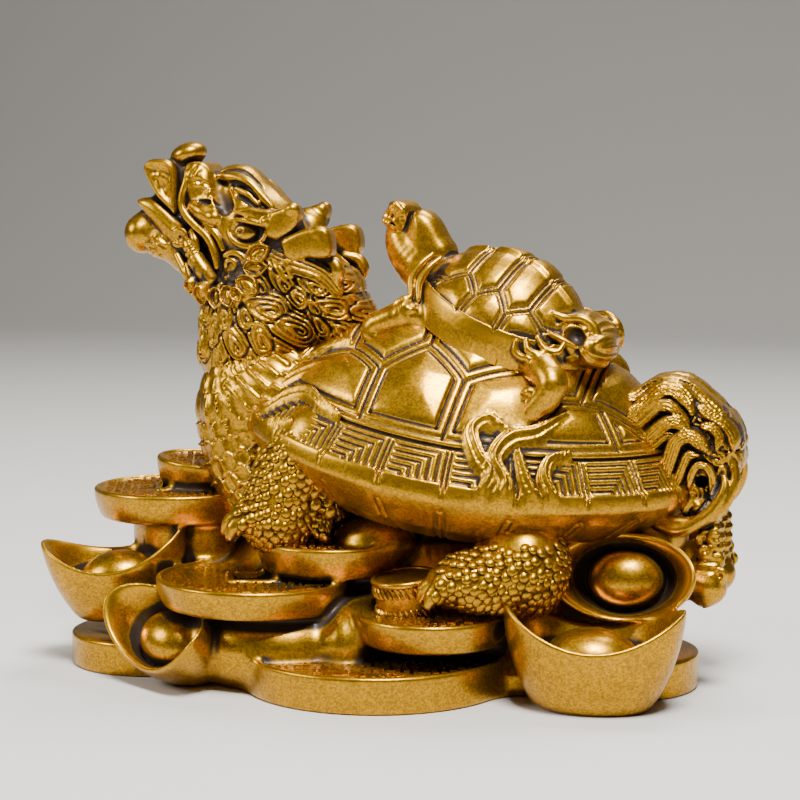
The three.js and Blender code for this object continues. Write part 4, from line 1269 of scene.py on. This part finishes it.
def model_young():
    """The young turtle: its shell, its head, its legs and the loose skin behind its shell."""
    clay = model_young_shell()
    clay.add_all(young_head())
    lobe = lambda x, y, z: 0.4 * rough(x, z, 3.0)
    clay.add(bead((18.6, 0, 3.6), (7.0, 9.6, 6.0), relief=lobe), 1.2)
    clay.add(bead((23.4, -4, 3.6), (3.6, 6.2, 4.2), relief=lobe), 0.8)
    for side in (-1, 1):
        lip = [(13.0, 8.2, 7.4), (15.7, 7.4, 7.6), (18.7, 6.6, 8.8), (21.8, 6.0, 8.0), (23.4, 6.6, 5.4),
               (22.8, 7.6, 2.2), (20.0, 8.6, 0.2)]
        clay.add(limb(lip, [0.7, 0.9, 1.1, 1.2, 1.1, 1.0, 0.8], side, steps=24), 0.5)
        clay.cut(bead((19.4, 10.0 * side, 5.4), (2.8, 3.6, 2.2), pitch=20), 0.5)
        clay.add(limb([(14.4, 9.6, 3.4), (17.5, 9.4, 3.4), (20.2, 8.8, 3.3)], [0.8, 0.9, 0.6], side), 0.4)
        for way in (
            [(10.6, 16.6, 0.6), (11.4, 16.8, -1.4), (13.2, 16.6, -2.0), (14.9, 15.8, -1.6)],
            [(12.0, 15.2, 1.4), (13.4, 15.6, -0.2), (15.4, 15.0, -0.4), (16.4, 14.2, 0.6)],
            [(13.6, 13.6, 2.6), (16.2, 13.6, 1.0), (18.6, 12.6, 1.4), (18.8, 11.4, 3.4)],
        ):
            clay.add(limb(way, [0.6, 0.9, 0.9, 0.5], side, steps=9), 0.4)
        for shift in (0, 2.1):
            band = [(-18.6 + shift, 8.6, 7.2), (-19.4 + shift, 10.6, 4.6), (-19.4 + shift, 12.4, 1.2),
                    (-17.4 + shift, 14.0, -1.8)]
            clay.add(limb(band, [0.6, 0.9, 0.9, 0.6], side, steps=12), 0.5)
        clay.add_all(young_limbs(side) + young_face(side))
        clay.cut(limb([(-37.4, 0.4, 8.2), (-35.4, 2.8, 7.9), (-32, 4.2, 8.3)], [0.35, 0.45, 0.3], side), 0.2)
        clay.cut(limb([(-30.4, 4.6, 13.2), (-29.6, 4.9, 10), (-30.2, 4.6, 7.0)], [0.5, 0.6, 0.4], side), 0.4)
    return clay


# Pieces that repeat, made by trees of geometry nodes


def add_node(tree, kind, given=None):
    """Adds a node. A given value sets what its name says, and a given node or socket is linked to it."""
    node = tree.nodes.new(kind)
    for name, value in (given or {}).items():
        if isinstance(value, bpy.types.Node):
            value = value.outputs[0]
        if isinstance(value, bpy.types.NodeSocket):
            tree.links.new(value, node.inputs[name])
        elif isinstance(name, int) or name in node.inputs:
            node.inputs[name].default_value = value
        else:
            setattr(node, name, value)
    return node


def new_tree(name, sizes, counts):
    """A geometry node tree with sizes and counts as inputs. Returns it, its input sockets and its ending."""
    tree = bpy.data.node_groups.new(name, "GeometryNodeTree")
    numbers = {**dict.fromkeys(sizes, "Float"), **dict.fromkeys(counts, "Int")}
    inputs = {"Geometry": "Geometry", **numbers, "Finish": "Material"}
    for title, kind in inputs.items():
        tree.interface.new_socket(title, in_out="INPUT", socket_type="NodeSocket" + kind)
    tree.interface.new_socket("Geometry", in_out="OUTPUT", socket_type="NodeSocketGeometry")
    given = add_node(tree, "NodeGroupInput").outputs

    def finish(geometry):
        solid = add_node(tree, "GeometryNodeRealizeInstances", {"Geometry": geometry})
        dressed = add_node(tree, "GeometryNodeSetMaterial", {"Geometry": solid, "Material": given["Finish"]})
        add_node(tree, "NodeGroupOutput", {"Geometry": dressed})

    return tree, given, finish


def grow(name, mesh, tree, sizes):
    """Runs a tree on a mesh with the given sizes and leaves a plain mesh."""
    piece = link(name, mesh)
    nodes = piece.modifiers.new(name, "NODES")
    nodes.node_group = tree
    for socket in tree.interface.items_tree:
        if socket.in_out == "INPUT" and socket.name in sizes:
            nodes[socket.identifier] = sizes[socket.name]
    settle(piece, nodes)
    return piece


def scale_tree():
    """Scales laid over the skin that is marked as scaled, each a pebble with its tip raised and painted
    shade at its foot.
    """
    sizes = ["Spacing", "Half Length", "Half Width", "Rise", "Tilt"]
    tree, given, finish = new_tree("scales on skin", sizes, ["Seed"])
    where = add_node(tree, "GeometryNodeInputNamedAttribute", {"data_type": "BOOLEAN", "Name": "scaled"})
    tips = add_node(tree, "GeometryNodeInputNamedAttribute", {"data_type": "FLOAT_VECTOR", "Name": "tips"})
    spots = add_node(tree, "GeometryNodeDistributePointsOnFaces", {
        "distribute_method": "POISSON", "Density Max": 4.0e6, "Mesh": given["Geometry"], "Selection": where,
        "Distance Min": given["Spacing"], "Seed": given["Seed"],
    })
    turned = add_node(tree, "FunctionNodeAlignRotationToVector", {
        "axis": "X", "pivot_axis": "Z", "Rotation": spots.outputs["Rotation"], "Vector": tips,
    })
    tilt = add_node(tree, "ShaderNodeCombineXYZ", {"Y": given["Tilt"]})
    raised = add_node(tree, "FunctionNodeRotateRotation", {
        "rotation_space": "LOCAL", "Rotation": turned, "Rotate By": tilt,
    })
    ball = add_node(tree, "GeometryNodeMeshUVSphere", {"Segments": 9, "Rings": 4, "Radius": 1.0})
    place = add_node(tree, "GeometryNodeInputPosition")
    height = add_node(tree, "ShaderNodeSeparateXYZ", {0: place}).outputs[2]
    # Painted shade: each pebble's lower side, where it meets the skin, is marked hollow so the lacquer
    # darkens it; its top is marked proud
    low = add_node(tree, "ShaderNodeMapRange", {
        "Value": height, "From Min": 0.75, "From Max": -0.1, "To Min": -0.15, "To Max": 0.3,
    })
    marked = add_node(tree, "GeometryNodeStoreNamedAttribute", {
        "data_type": "FLOAT", "domain": "POINT", "Name": "hollow", "Geometry": ball, "Value": low,
    })
    half = add_node(tree, "ShaderNodeCombineXYZ", {
        "X": given["Half Length"], "Y": given["Half Width"], "Z": given["Rise"],
    })
    pebble = add_node(tree, "GeometryNodeTransform", {"Geometry": marked, "Scale": half})
    vary = add_node(tree, "FunctionNodeRandomValue",
                    {"data_type": "FLOAT", 2: 0.85, 3: 1.15, "Seed": given["Seed"]})
    finish(add_node(tree, "GeometryNodeInstanceOnPoints", {
        "Points": spots, "Instance": pebble, "Rotation": raised, "Scale": vary.outputs[1],
    }))
    return tree


def stroke_tree():
    """Rows of short strokes over a coin's field, level or upright, clear of its rim and its hole."""
    sizes = ["Width", "Reach", "Clear", "Stroke Length", "Stroke Width", "Stroke Height", "Shift"]
    tree, given, finish = new_tree("strokes on a coin", sizes, ["Rows", "Seed"])
    grid = add_node(tree, "GeometryNodeMeshGrid", {
        "Size X": given["Width"], "Size Y": given["Width"], "Vertices X": given["Rows"],
        "Vertices Y": given["Rows"],
    })
    place = add_node(tree, "GeometryNodeInputPosition")
    out = add_node(tree, "ShaderNodeVectorMath", {"operation": "LENGTH", 0: place})
    within = add_node(tree, "ShaderNodeMath",
                      {"operation": "LESS_THAN", 0: out.outputs["Value"], 1: given["Reach"]})
    aside = add_node(tree, "ShaderNodeVectorMath", {"operation": "ABSOLUTE", 0: place})
    parts = add_node(tree, "ShaderNodeSeparateXYZ", {0: aside}).outputs
    square = add_node(tree, "ShaderNodeMath", {"operation": "MAXIMUM", 0: parts[0], 1: parts[1]})
    beyond = add_node(tree, "ShaderNodeMath", {"operation": "GREATER_THAN", 0: square, 1: given["Clear"]})
    chosen = add_node(tree, "ShaderNodeMath", {"operation": "MULTIPLY", 0: within, 1: beyond})
    upright = add_node(tree, "FunctionNodeRandomValue",
                       {"data_type": "INT", 4: 0, 5: 1, "Seed": given["Seed"]})
    quarter = add_node(tree, "ShaderNodeMath",
                       {"operation": "MULTIPLY", 0: upright.outputs[2], 1: math.pi / 2})
    turn = add_node(tree, "ShaderNodeCombineXYZ", {"Z": quarter})
    size = add_node(tree, "FunctionNodeRandomValue", {
        "data_type": "FLOAT_VECTOR", 0: (0.55, 0.85, 0.8), 1: (1.2, 1.2, 1.1), "Seed": given["Seed"],
    })
    bar_size = add_node(tree, "ShaderNodeCombineXYZ", {
        "X": given["Stroke Length"], "Y": given["Stroke Width"], "Z": given["Stroke Height"],
    })
    bar = add_node(tree, "GeometryNodeMeshCube", {"Size": bar_size})
    spread = add_node(tree, "FunctionNodeRandomValue",
                      {"data_type": "FLOAT_VECTOR", 0: (-1, -1, 0), 1: (1, 1, 0.2)})
    shift = add_node(tree, "ShaderNodeVectorMath",
                     {"operation": "SCALE", 0: spread, "Scale": given["Shift"]})
    spots = add_node(tree, "GeometryNodeSetPosition", {"Geometry": grid, "Offset": shift})
    finish(add_node(tree, "GeometryNodeInstanceOnPoints", {
        "Points": spots, "Selection": chosen, "Instance": bar, "Rotation": turn, "Scale": size,
    }))
    return tree


def roll_tree():
    """A short milled roll: a drum with a bead round its top and slanting ridges round its foot and neck."""
    tree, given, finish = new_tree("milled roll", ["Radius", "Height", "Bead", "Slant"], ["Ridges"])
    drum = add_node(tree, "GeometryNodeMeshCylinder", {
        "Vertices": 64, "Radius": given["Radius"], "Depth": given["Height"],
    })
    ring = add_node(tree, "GeometryNodeCurvePrimitiveCircle", {"Resolution": 64, "Radius": given["Radius"]})
    section = add_node(tree, "GeometryNodeCurvePrimitiveCircle", {"Resolution": 10, "Radius": given["Bead"]})
    bead_ring = add_node(tree, "GeometryNodeCurveToMesh", {"Curve": ring, "Profile Curve": section})
    ball = add_node(tree, "GeometryNodeMeshUVSphere", {"Segments": 8, "Rings": 5, "Radius": 1.0})
    size = add_node(tree, "ShaderNodeVectorMath",
                    {"operation": "SCALE", 0: (0.9, 0.62, 2.0), "Scale": given["Bead"]})
    ridge = add_node(tree, "GeometryNodeTransform", {"Geometry": ball, "Scale": size})
    around = add_node(tree, "GeometryNodeMeshCircle", {
        "fill_type": "NONE", "Vertices": given["Ridges"], "Radius": given["Radius"],
    })
    outward = add_node(tree, "FunctionNodeAlignRotationToVector", {
        "axis": "X", "pivot_axis": "Z", "Vector": add_node(tree, "GeometryNodeInputPosition"),
    })
    lean = add_node(tree, "ShaderNodeCombineXYZ", {"X": given["Slant"]})
    slanted = add_node(tree, "FunctionNodeRotateRotation", {
        "rotation_space": "LOCAL", "Rotation": outward, "Rotate By": lean,
    })
    ridges = add_node(tree, "GeometryNodeInstanceOnPoints", {
        "Points": around, "Instance": ridge, "Rotation": slanted,
    })
    half = add_node(tree, "ShaderNodeMath", {"operation": "MULTIPLY", 0: given["Height"], 1: 0.5})
    joined = add_node(tree, "GeometryNodeJoinGeometry", {0: drum})
    for source, share in ((bead_ring, 0.9), (ridges, 0.45), (ridges, -0.7)):
        level = add_node(tree, "ShaderNodeMath", {"operation": "MULTIPLY", 0: half, 1: share})
        up = add_node(tree, "ShaderNodeCombineXYZ", {"Z": level})
        moved = add_node(tree, "GeometryNodeTransform", {"Geometry": source, "Translation": up})
        tree.links.new(moved.outputs[0], joined.inputs[0])
    finish(joined)
    return tree


# Sizes in millimetres: the leg scales' spacing, the coins' strokes and the cell of each, and the roll
SCALE_SPACING = 1.7
SCALED_SKIN = [
    # Where scales lie on the legs, in millimetres: from and to an x, beyond a y on either flank, below a z.
    (-29, -6, 13, 56),
    (18, 44, 15, 34.5),
]
STROKE_CELL = 1.9
STROKE = {"Stroke Length": 1.7, "Stroke Width": 0.55, "Stroke Height": 0.9, "Shift": 0.25}
ROLL = {"Radius": 6.6, "Height": 8.4, "Bead": 0.75}
ROLL_PLACE = (8.2, -25.5, 21.2)


def in_metres(lengths):
    """Named lengths in millimetres, as metres."""
    return {name: length * MM for name, length in lengths.items()}


def lay_scales(body, finish):
    """Lays scales on the legs of a finished body mesh, their tips down and towards the head."""
    skin = body.data.copy()
    x, y, z = triples(skin.vertices, "co").T / MM
    scaled = np.zeros(x.shape, dtype=bool)
    for first, last, aside, top in SCALED_SKIN:
        scaled |= (x > first) & (x < last) & (np.abs(y) > aside) & (z < top)
    skin.attributes.new("scaled", "BOOLEAN", "POINT").data.foreach_set("value", scaled)
    tips = np.stack([np.where(x > 0, -0.8, -0.35), 0 * x, np.full(x.shape, -1.0)], axis=1).astype(np.float32)
    skin.attributes.new("tips", "FLOAT_VECTOR", "POINT").data.foreach_set("vector", tips.ravel())
    spacing = SCALE_SPACING * MM
    sizes = {"Spacing": spacing, "Half Length": 0.86 * spacing, "Half Width": 0.74 * spacing}
    sizes.update({"Rise": 0.36 * spacing, "Tilt": -0.36, "Seed": 4, "Finish": finish})
    piece = grow("leg_scales", skin, scale_tree(), sizes)
    piece.data.shade_smooth()
    dress(piece, finish)


def lay_strokes(finish):
    """Strokes on the field of every coin that shows its face."""
    tree = stroke_tree()
    for number, known in enumerate(COINS):
        if known.get("face") == "covered":
            continue
        radius = known["radius"]
        clear = hole_of(radius) + FRAME_WIDE + 1.2 if known.get("face") == "hole" else 0.0
        sizes = in_metres({"Width": 2 * radius, "Reach": radius - COIN_RIM - 1.5, "Clear": clear, **STROKE})
        sizes.update({"Rows": int(2 * radius / STROKE_CELL) + 1, "Seed": number, "Finish": finish})
        strokes = grow(f"coin_strokes_{number + 1}", bpy.data.meshes.new("strokes"), tree, sizes)
        usual = {"roll": 0, "pitch": 0, "yaw": COIN_YAW, **known}
        turn = Euler([math.radians(usual[way]) for way in ("roll", "pitch", "yaw")]).to_matrix()
        on_field = Vector(known["at"]) + turn @ Vector((0, 0, 0.05 - COIN_SUNK))
        strokes.data.transform(Matrix.Translation(on_field * MM) @ turn.to_4x4())
        dress(strokes, finish)


def set_roll(finish):
    """The milled roll that lies on a coin by the hind foot."""
    sizes = {**in_metres(ROLL), "Ridges": 34, "Slant": 0.5, "Finish": finish}
    roll = grow("milled_roll", bpy.data.meshes.new("roll"), roll_tree(), sizes)
    turn = Euler((math.radians(6), math.radians(-5), 0)).to_matrix().to_4x4()
    roll.data.transform(Matrix.Translation(Vector(ROLL_PLACE) * MM) @ turn)
    dress(roll, finish)


# The gold

# Size of the lacquer's patches, flakes and grains, in millimetres
PATCH, FLAKE, GRAIN = 100 / 17, 10 / 26, 10 / 18


def linear(colour):
    """An sRGB hex colour as linear red, green, blue and alpha."""
    parts = [int(colour[k : k + 2], 16) / 255 for k in (1, 3, 5)]
    return [part / 12.92 if part <= 0.04045 else ((part + 0.055) / 1.055) ** 2.4 for part in parts] + [1.0]


def gilt_resin(look):
    """Cast polyresin under gold lacquer: a satin metal gleam, fine flakes, and brown painted shade in the
    hollows.
    """
    finish = bpy.data.materials.new("gold_lacquer_on_cast_resin")
    finish.use_nodes = True
    tree = finish.node_tree
    tree.nodes.clear()
    place = add_node(tree, "ShaderNodeTexCoord").outputs["Object"]
    hollow = add_node(tree, "ShaderNodeAttribute", {"attribute_name": "hollow"}).outputs["Fac"]
    patches = add_node(tree, "ShaderNodeTexNoise",
                       {"Vector": place, "Scale": 1 / (PATCH * MM), "Detail": 3.0})
    flakes = add_node(tree, "ShaderNodeTexVoronoi", {"Vector": place, "Scale": 1 / (FLAKE * MM)})
    grain = add_node(tree, "ShaderNodeTexNoise", {"Vector": place, "Scale": 1 / (GRAIN * MM), "Detail": 2.0})
    # Painted shade: brown in the hollows and between facing walls, from the hollow mark
    deep = add_node(tree, "ShaderNodeMapRange", {
        "interpolation_type": "SMOOTHSTEP", "Value": hollow, "From Min": 0.03, "From Max": 0.3,
    })
    worn = add_node(tree, "ShaderNodeMapRange",
                    {"Value": hollow, "From Min": -0.12, "From Max": -0.5, "To Max": 0.7})
    uneven = add_node(tree, "ShaderNodeMath", {"operation": "MULTIPLY_ADD", 0: patches, 1: 0.5, 2: -0.22})
    # Painted shade together with random patches of uneven tone
    shade_and_patches = add_node(tree, "ShaderNodeMath", {"operation": "ADD", "use_clamp": True, 0: deep, 1: uneven})
    speck = add_node(tree, "ShaderNodeSeparateColor", {0: flakes.outputs["Color"]})
    gleam = add_node(tree, "ShaderNodeMath", {"operation": "MAXIMUM", 0: speck, 1: worn})
    gilt = add_node(tree, "ShaderNodeMix",
                    {"data_type": "RGBA", 0: gleam, 6: look.gold, 7: look.bright}).outputs[2]
    # Mixes the brown of the painted shade into the gold
    colour = add_node(tree, "ShaderNodeMix",
                      {"data_type": "RGBA", 0: shade_and_patches, 6: gilt, 7: look.painted_shade}).outputs[2]
    satin = add_node(tree, "ShaderNodeMapRange", {"Value": shade_and_patches, "To Min": look.roughness, "To Max": 0.62})
    bump = add_node(tree, "ShaderNodeBump", {"Height": grain, "Strength": 0.12, "Distance": 0.1 * MM})
    metal = add_node(tree, "ShaderNodeMapRange", {"Value": shade_and_patches, "To Min": 0.94, "To Max": 0.45})
    shader = add_node(tree, "ShaderNodeBsdfPrincipled", {
        "Base Color": colour, "Roughness": satin, "Metallic": metal, "Normal": bump,
        "Coat Weight": 0.12, "Coat Roughness": 0.2,
    })
    add_node(tree, "ShaderNodeOutputMaterial", {"Surface": shader})
    return finish


def shared_finish():
    """The one lacquer that every piece wears."""
    return bpy.data.materials.get("gold_lacquer_on_cast_resin") or gilt_resin(bpy.context.scene.gilt_look)


# The stage, in metres

HALF_FLOOR, FLOOR_DEPTH, BEND, WALL_TOP = 3.0, 1.0, 0.6, 2.4
FLOOR_COLOUR, ROOM_COLOUR, ROOM_LIGHT = "#C6C2BA", "#B9BCC2", 0.14
# Where the lamps look
AIM = (0, 0, 0.05)
LAMPS = [
    # Name, place, size and power in watts.
    ("key", (0.16, -0.36, 0.82), 0.26, 20.0),
    ("fill", (-0.7, -0.4, 0.5), 0.3, 5.0),
    ("top", (0.1, 0.35, 0.8), 0.34, 8.0),
]
# The camera: its place, its turn to the tail side and down, and its lens and film width in millimetres
EYE = (0.1242, -0.4636, 0.110)
EYE_TURN, EYE_DOWN = math.radians(15), math.radians(5.9)
LENS, FILM = 96.57, 36


def facing(way):
    """The turn of a lamp or a camera that looks along a way."""
    return way.to_track_quat("-Z", "Y").to_euler()


def pale_floor():
    """A pale, matt floor that bends up into a wall far behind the figure."""
    turns = [math.radians(6 * k) for k in range(16)]
    bend = [(FLOOR_DEPTH + BEND * math.sin(t), BEND * (1 - math.cos(t))) for t in turns]
    profile = [(-HALF_FLOOR, 0), *bend, (FLOOR_DEPTH + BEND, WALL_TOP)]
    corners = [(side * HALF_FLOOR, y, z) for y, z in profile for side in (-1, 1)]
    sheets = [(2 * k, 2 * k + 1, 2 * k + 3, 2 * k + 2) for k in range(len(profile) - 1)]
    mesh = bpy.data.meshes.new("floor")
    mesh.from_pydata(corners, [], sheets)
    mesh.shade_smooth()
    floor = link("floor", mesh)
    paint = bpy.data.materials.new("pale_floor")
    paint.use_nodes = True
    shader = paint.node_tree.nodes["Principled BSDF"]
    shader.inputs["Base Color"].default_value = linear(FLOOR_COLOUR)
    shader.inputs["Roughness"].default_value = 0.8
    mesh.materials.append(paint)
    floor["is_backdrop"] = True


def studio_light():
    """Three soft lamps over the figure in a dim grey room."""
    world = bpy.data.worlds.new("studio")
    world.use_nodes = True
    room = world.node_tree.nodes["Background"].inputs
    room["Color"].default_value = linear(ROOM_COLOUR)
    room["Strength"].default_value = ROOM_LIGHT
    bpy.context.scene.world = world
    for name, at, size, power in LAMPS:
        lamp = bpy.data.lights.new(name, "AREA")
        lamp.size = size
        lamp.energy = power
        light = link(name, lamp)
        light.location = at
        light.rotation_euler = facing(Vector(AIM) - Vector(at))


def aim_camera():
    """The camera at the photo's view of the near flank, turned a little to the tail side."""
    level = math.cos(EYE_DOWN)
    lens = bpy.data.cameras.new("camera")
    lens.lens = LENS
    lens.sensor_width = FILM
    camera = link("camera", lens)
    camera.location = EYE
    ahead = Vector((-math.sin(EYE_TURN) * level, math.cos(EYE_TURN) * level, -math.sin(EYE_DOWN)))
    camera.rotation_euler = facing(ahead)
    bpy.context.scene.camera = camera


# What a user may change


class HeapSizes(bpy.types.PropertyGroup):
    """Sizes of the mound under the coins and ingots."""

    length: bpy.props.FloatProperty(
        name="Length",
        description="Length of the mound under the coins",
        default=0.126,
        unit="LENGTH",
        subtype="DISTANCE",
    )
    width: bpy.props.FloatProperty(
        name="Width",
        description="Width of the mound under the coins",
        default=0.072,
        unit="LENGTH",
        subtype="DISTANCE",
    )
    height: bpy.props.FloatProperty(
        name="Height", description="Height of the mound", default=0.034, unit="LENGTH", subtype="DISTANCE"
    )


class GiltLook(bpy.types.PropertyGroup):
    """Colours and gleam of the gold lacquer, with the brown of its painted shade."""

    gold: bpy.props.FloatVectorProperty(
        name="Gold",
        description="Colour of the lacquer",
        size=4,
        subtype="COLOR",
        min=0,
        max=1,
        default=linear("#946A04"),
    )
    bright: bpy.props.FloatVectorProperty(
        name="Bright Gold",
        description="Flakes and worn edges",
        size=4,
        subtype="COLOR",
        min=0,
        max=1,
        default=linear("#CC960E"),
    )
    # The brown of the painted shade in the hollows and between facing walls
    painted_shade: bpy.props.FloatVectorProperty(
        name="Painted Shade",
        description="Brown painted shade in the hollows",
        size=4,
        subtype="COLOR",
        min=0,
        max=1,
        default=linear("#241403"),
    )
    roughness: bpy.props.FloatProperty(
        name="Roughness", description="How satin the lacquer is", default=0.3, min=0, max=1, subtype="FACTOR"
    )


class MakeHeap(bpy.types.Operator):
    """Model the heap of coins and ingots"""

    bl_idname = "dragon_turtle.heap"
    bl_label = "Heap of Coins and Ingots"

    def execute(self, context):
        finish = shared_finish()
        cast("heap_of_coins", model_heap(context.scene.heap_sizes), MOST_FACES["heap"], finish)
        lay_strokes(finish)
        set_roll(finish)
        return {"FINISHED"}


class MakeShell(bpy.types.Operator):
    """Model the big shell with its plates, fretted rim and ribbons"""

    bl_idname = "dragon_turtle.shell"
    bl_label = "Big Shell"

    def execute(self, context):
        clay = model_big_shell(both_sides(RIBBONS) + both_sides(FRONT_STRANDS))
        cast("big_shell", clay, MOST_FACES["shell"], shared_finish(), **BIG_PLACE)
        return {"FINISHED"}


class MakeBody(bpy.types.Operator):
    """Model the neck and the legs with their scales and claws"""

    bl_idname = "dragon_turtle.body"
    bl_label = "Neck and Legs"

    def execute(self, context):
        body = cast("neck_and_legs", model_body(), MOST_FACES["body"], shared_finish())
        lay_scales(body, shared_finish())
        return {"FINISHED"}


class MakeHead(bpy.types.Operator):
    """Model the dragon head and its mane"""

    bl_idname = "dragon_turtle.head"
    bl_label = "Head and Mane"

    def execute(self, context):
        cast("head_and_mane", model_head(), MOST_FACES["head"], shared_finish())
        return {"FINISHED"}


class MakeTail(bpy.types.Operator):
    """Model the tail plume"""

    bl_idname = "dragon_turtle.tail"
    bl_label = "Tail Plume"

    def execute(self, context):
        cast("tail_plume", model_tail(), MOST_FACES["tail"], shared_finish())
        return {"FINISHED"}


class MakeYoungTurtle(bpy.types.Operator):
    """Model the young turtle that rides on the shell"""

    bl_idname = "dragon_turtle.young"
    bl_label = "Young Turtle"

    def execute(self, context):
        cast("young_turtle", model_young(), MOST_FACES["young"], shared_finish(), **SMALL_PLACE)
        return {"FINISHED"}


class MakeStage(bpy.types.Operator):
    """Set the pale floor, the studio light and the camera"""

    bl_idname = "dragon_turtle.stage"
    bl_label = "Stage"

    def execute(self, context):
        pale_floor()
        studio_light()
        aim_camera()
        return {"FINISHED"}


class DragonTurtlePanel(bpy.types.Panel):
    """Lists the pieces of the figure"""

    bl_idname = "VIEW3D_PT_dragon_turtle"
    bl_label = "Dragon Turtle"
    bl_space_type = "VIEW_3D"
    bl_region_type = "UI"
    bl_category = "Dragon Turtle"

    def draw(self, context):
        for piece in PIECES:
            self.layout.operator(piece.bl_idname)


PIECES = (MakeHeap, MakeShell, MakeBody, MakeHead, MakeTail, MakeYoungTurtle, MakeStage)
CLASSES = (HeapSizes, GiltLook, *PIECES, DragonTurtlePanel)


def register():
    for made in CLASSES:
        bpy.utils.register_class(made)
    bpy.types.Scene.heap_sizes = bpy.props.PointerProperty(type=HeapSizes)
    bpy.types.Scene.gilt_look = bpy.props.PointerProperty(type=GiltLook)


def unregister():
    del bpy.types.Scene.gilt_look
    del bpy.types.Scene.heap_sizes
    for made in reversed(CLASSES):
        bpy.utils.unregister_class(made)


def main():
    register()
    for piece in PIECES:
        group, call = piece.bl_idname.split(".")
        getattr(getattr(bpy.ops, group), call)()
    boxes = {"cad": CAD_BOX, "visual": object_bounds()}
    {name: [[float(v) for v in corner] for corner in box] for name, box in boxes.items()}


if __name__ == "__main__":
    main()
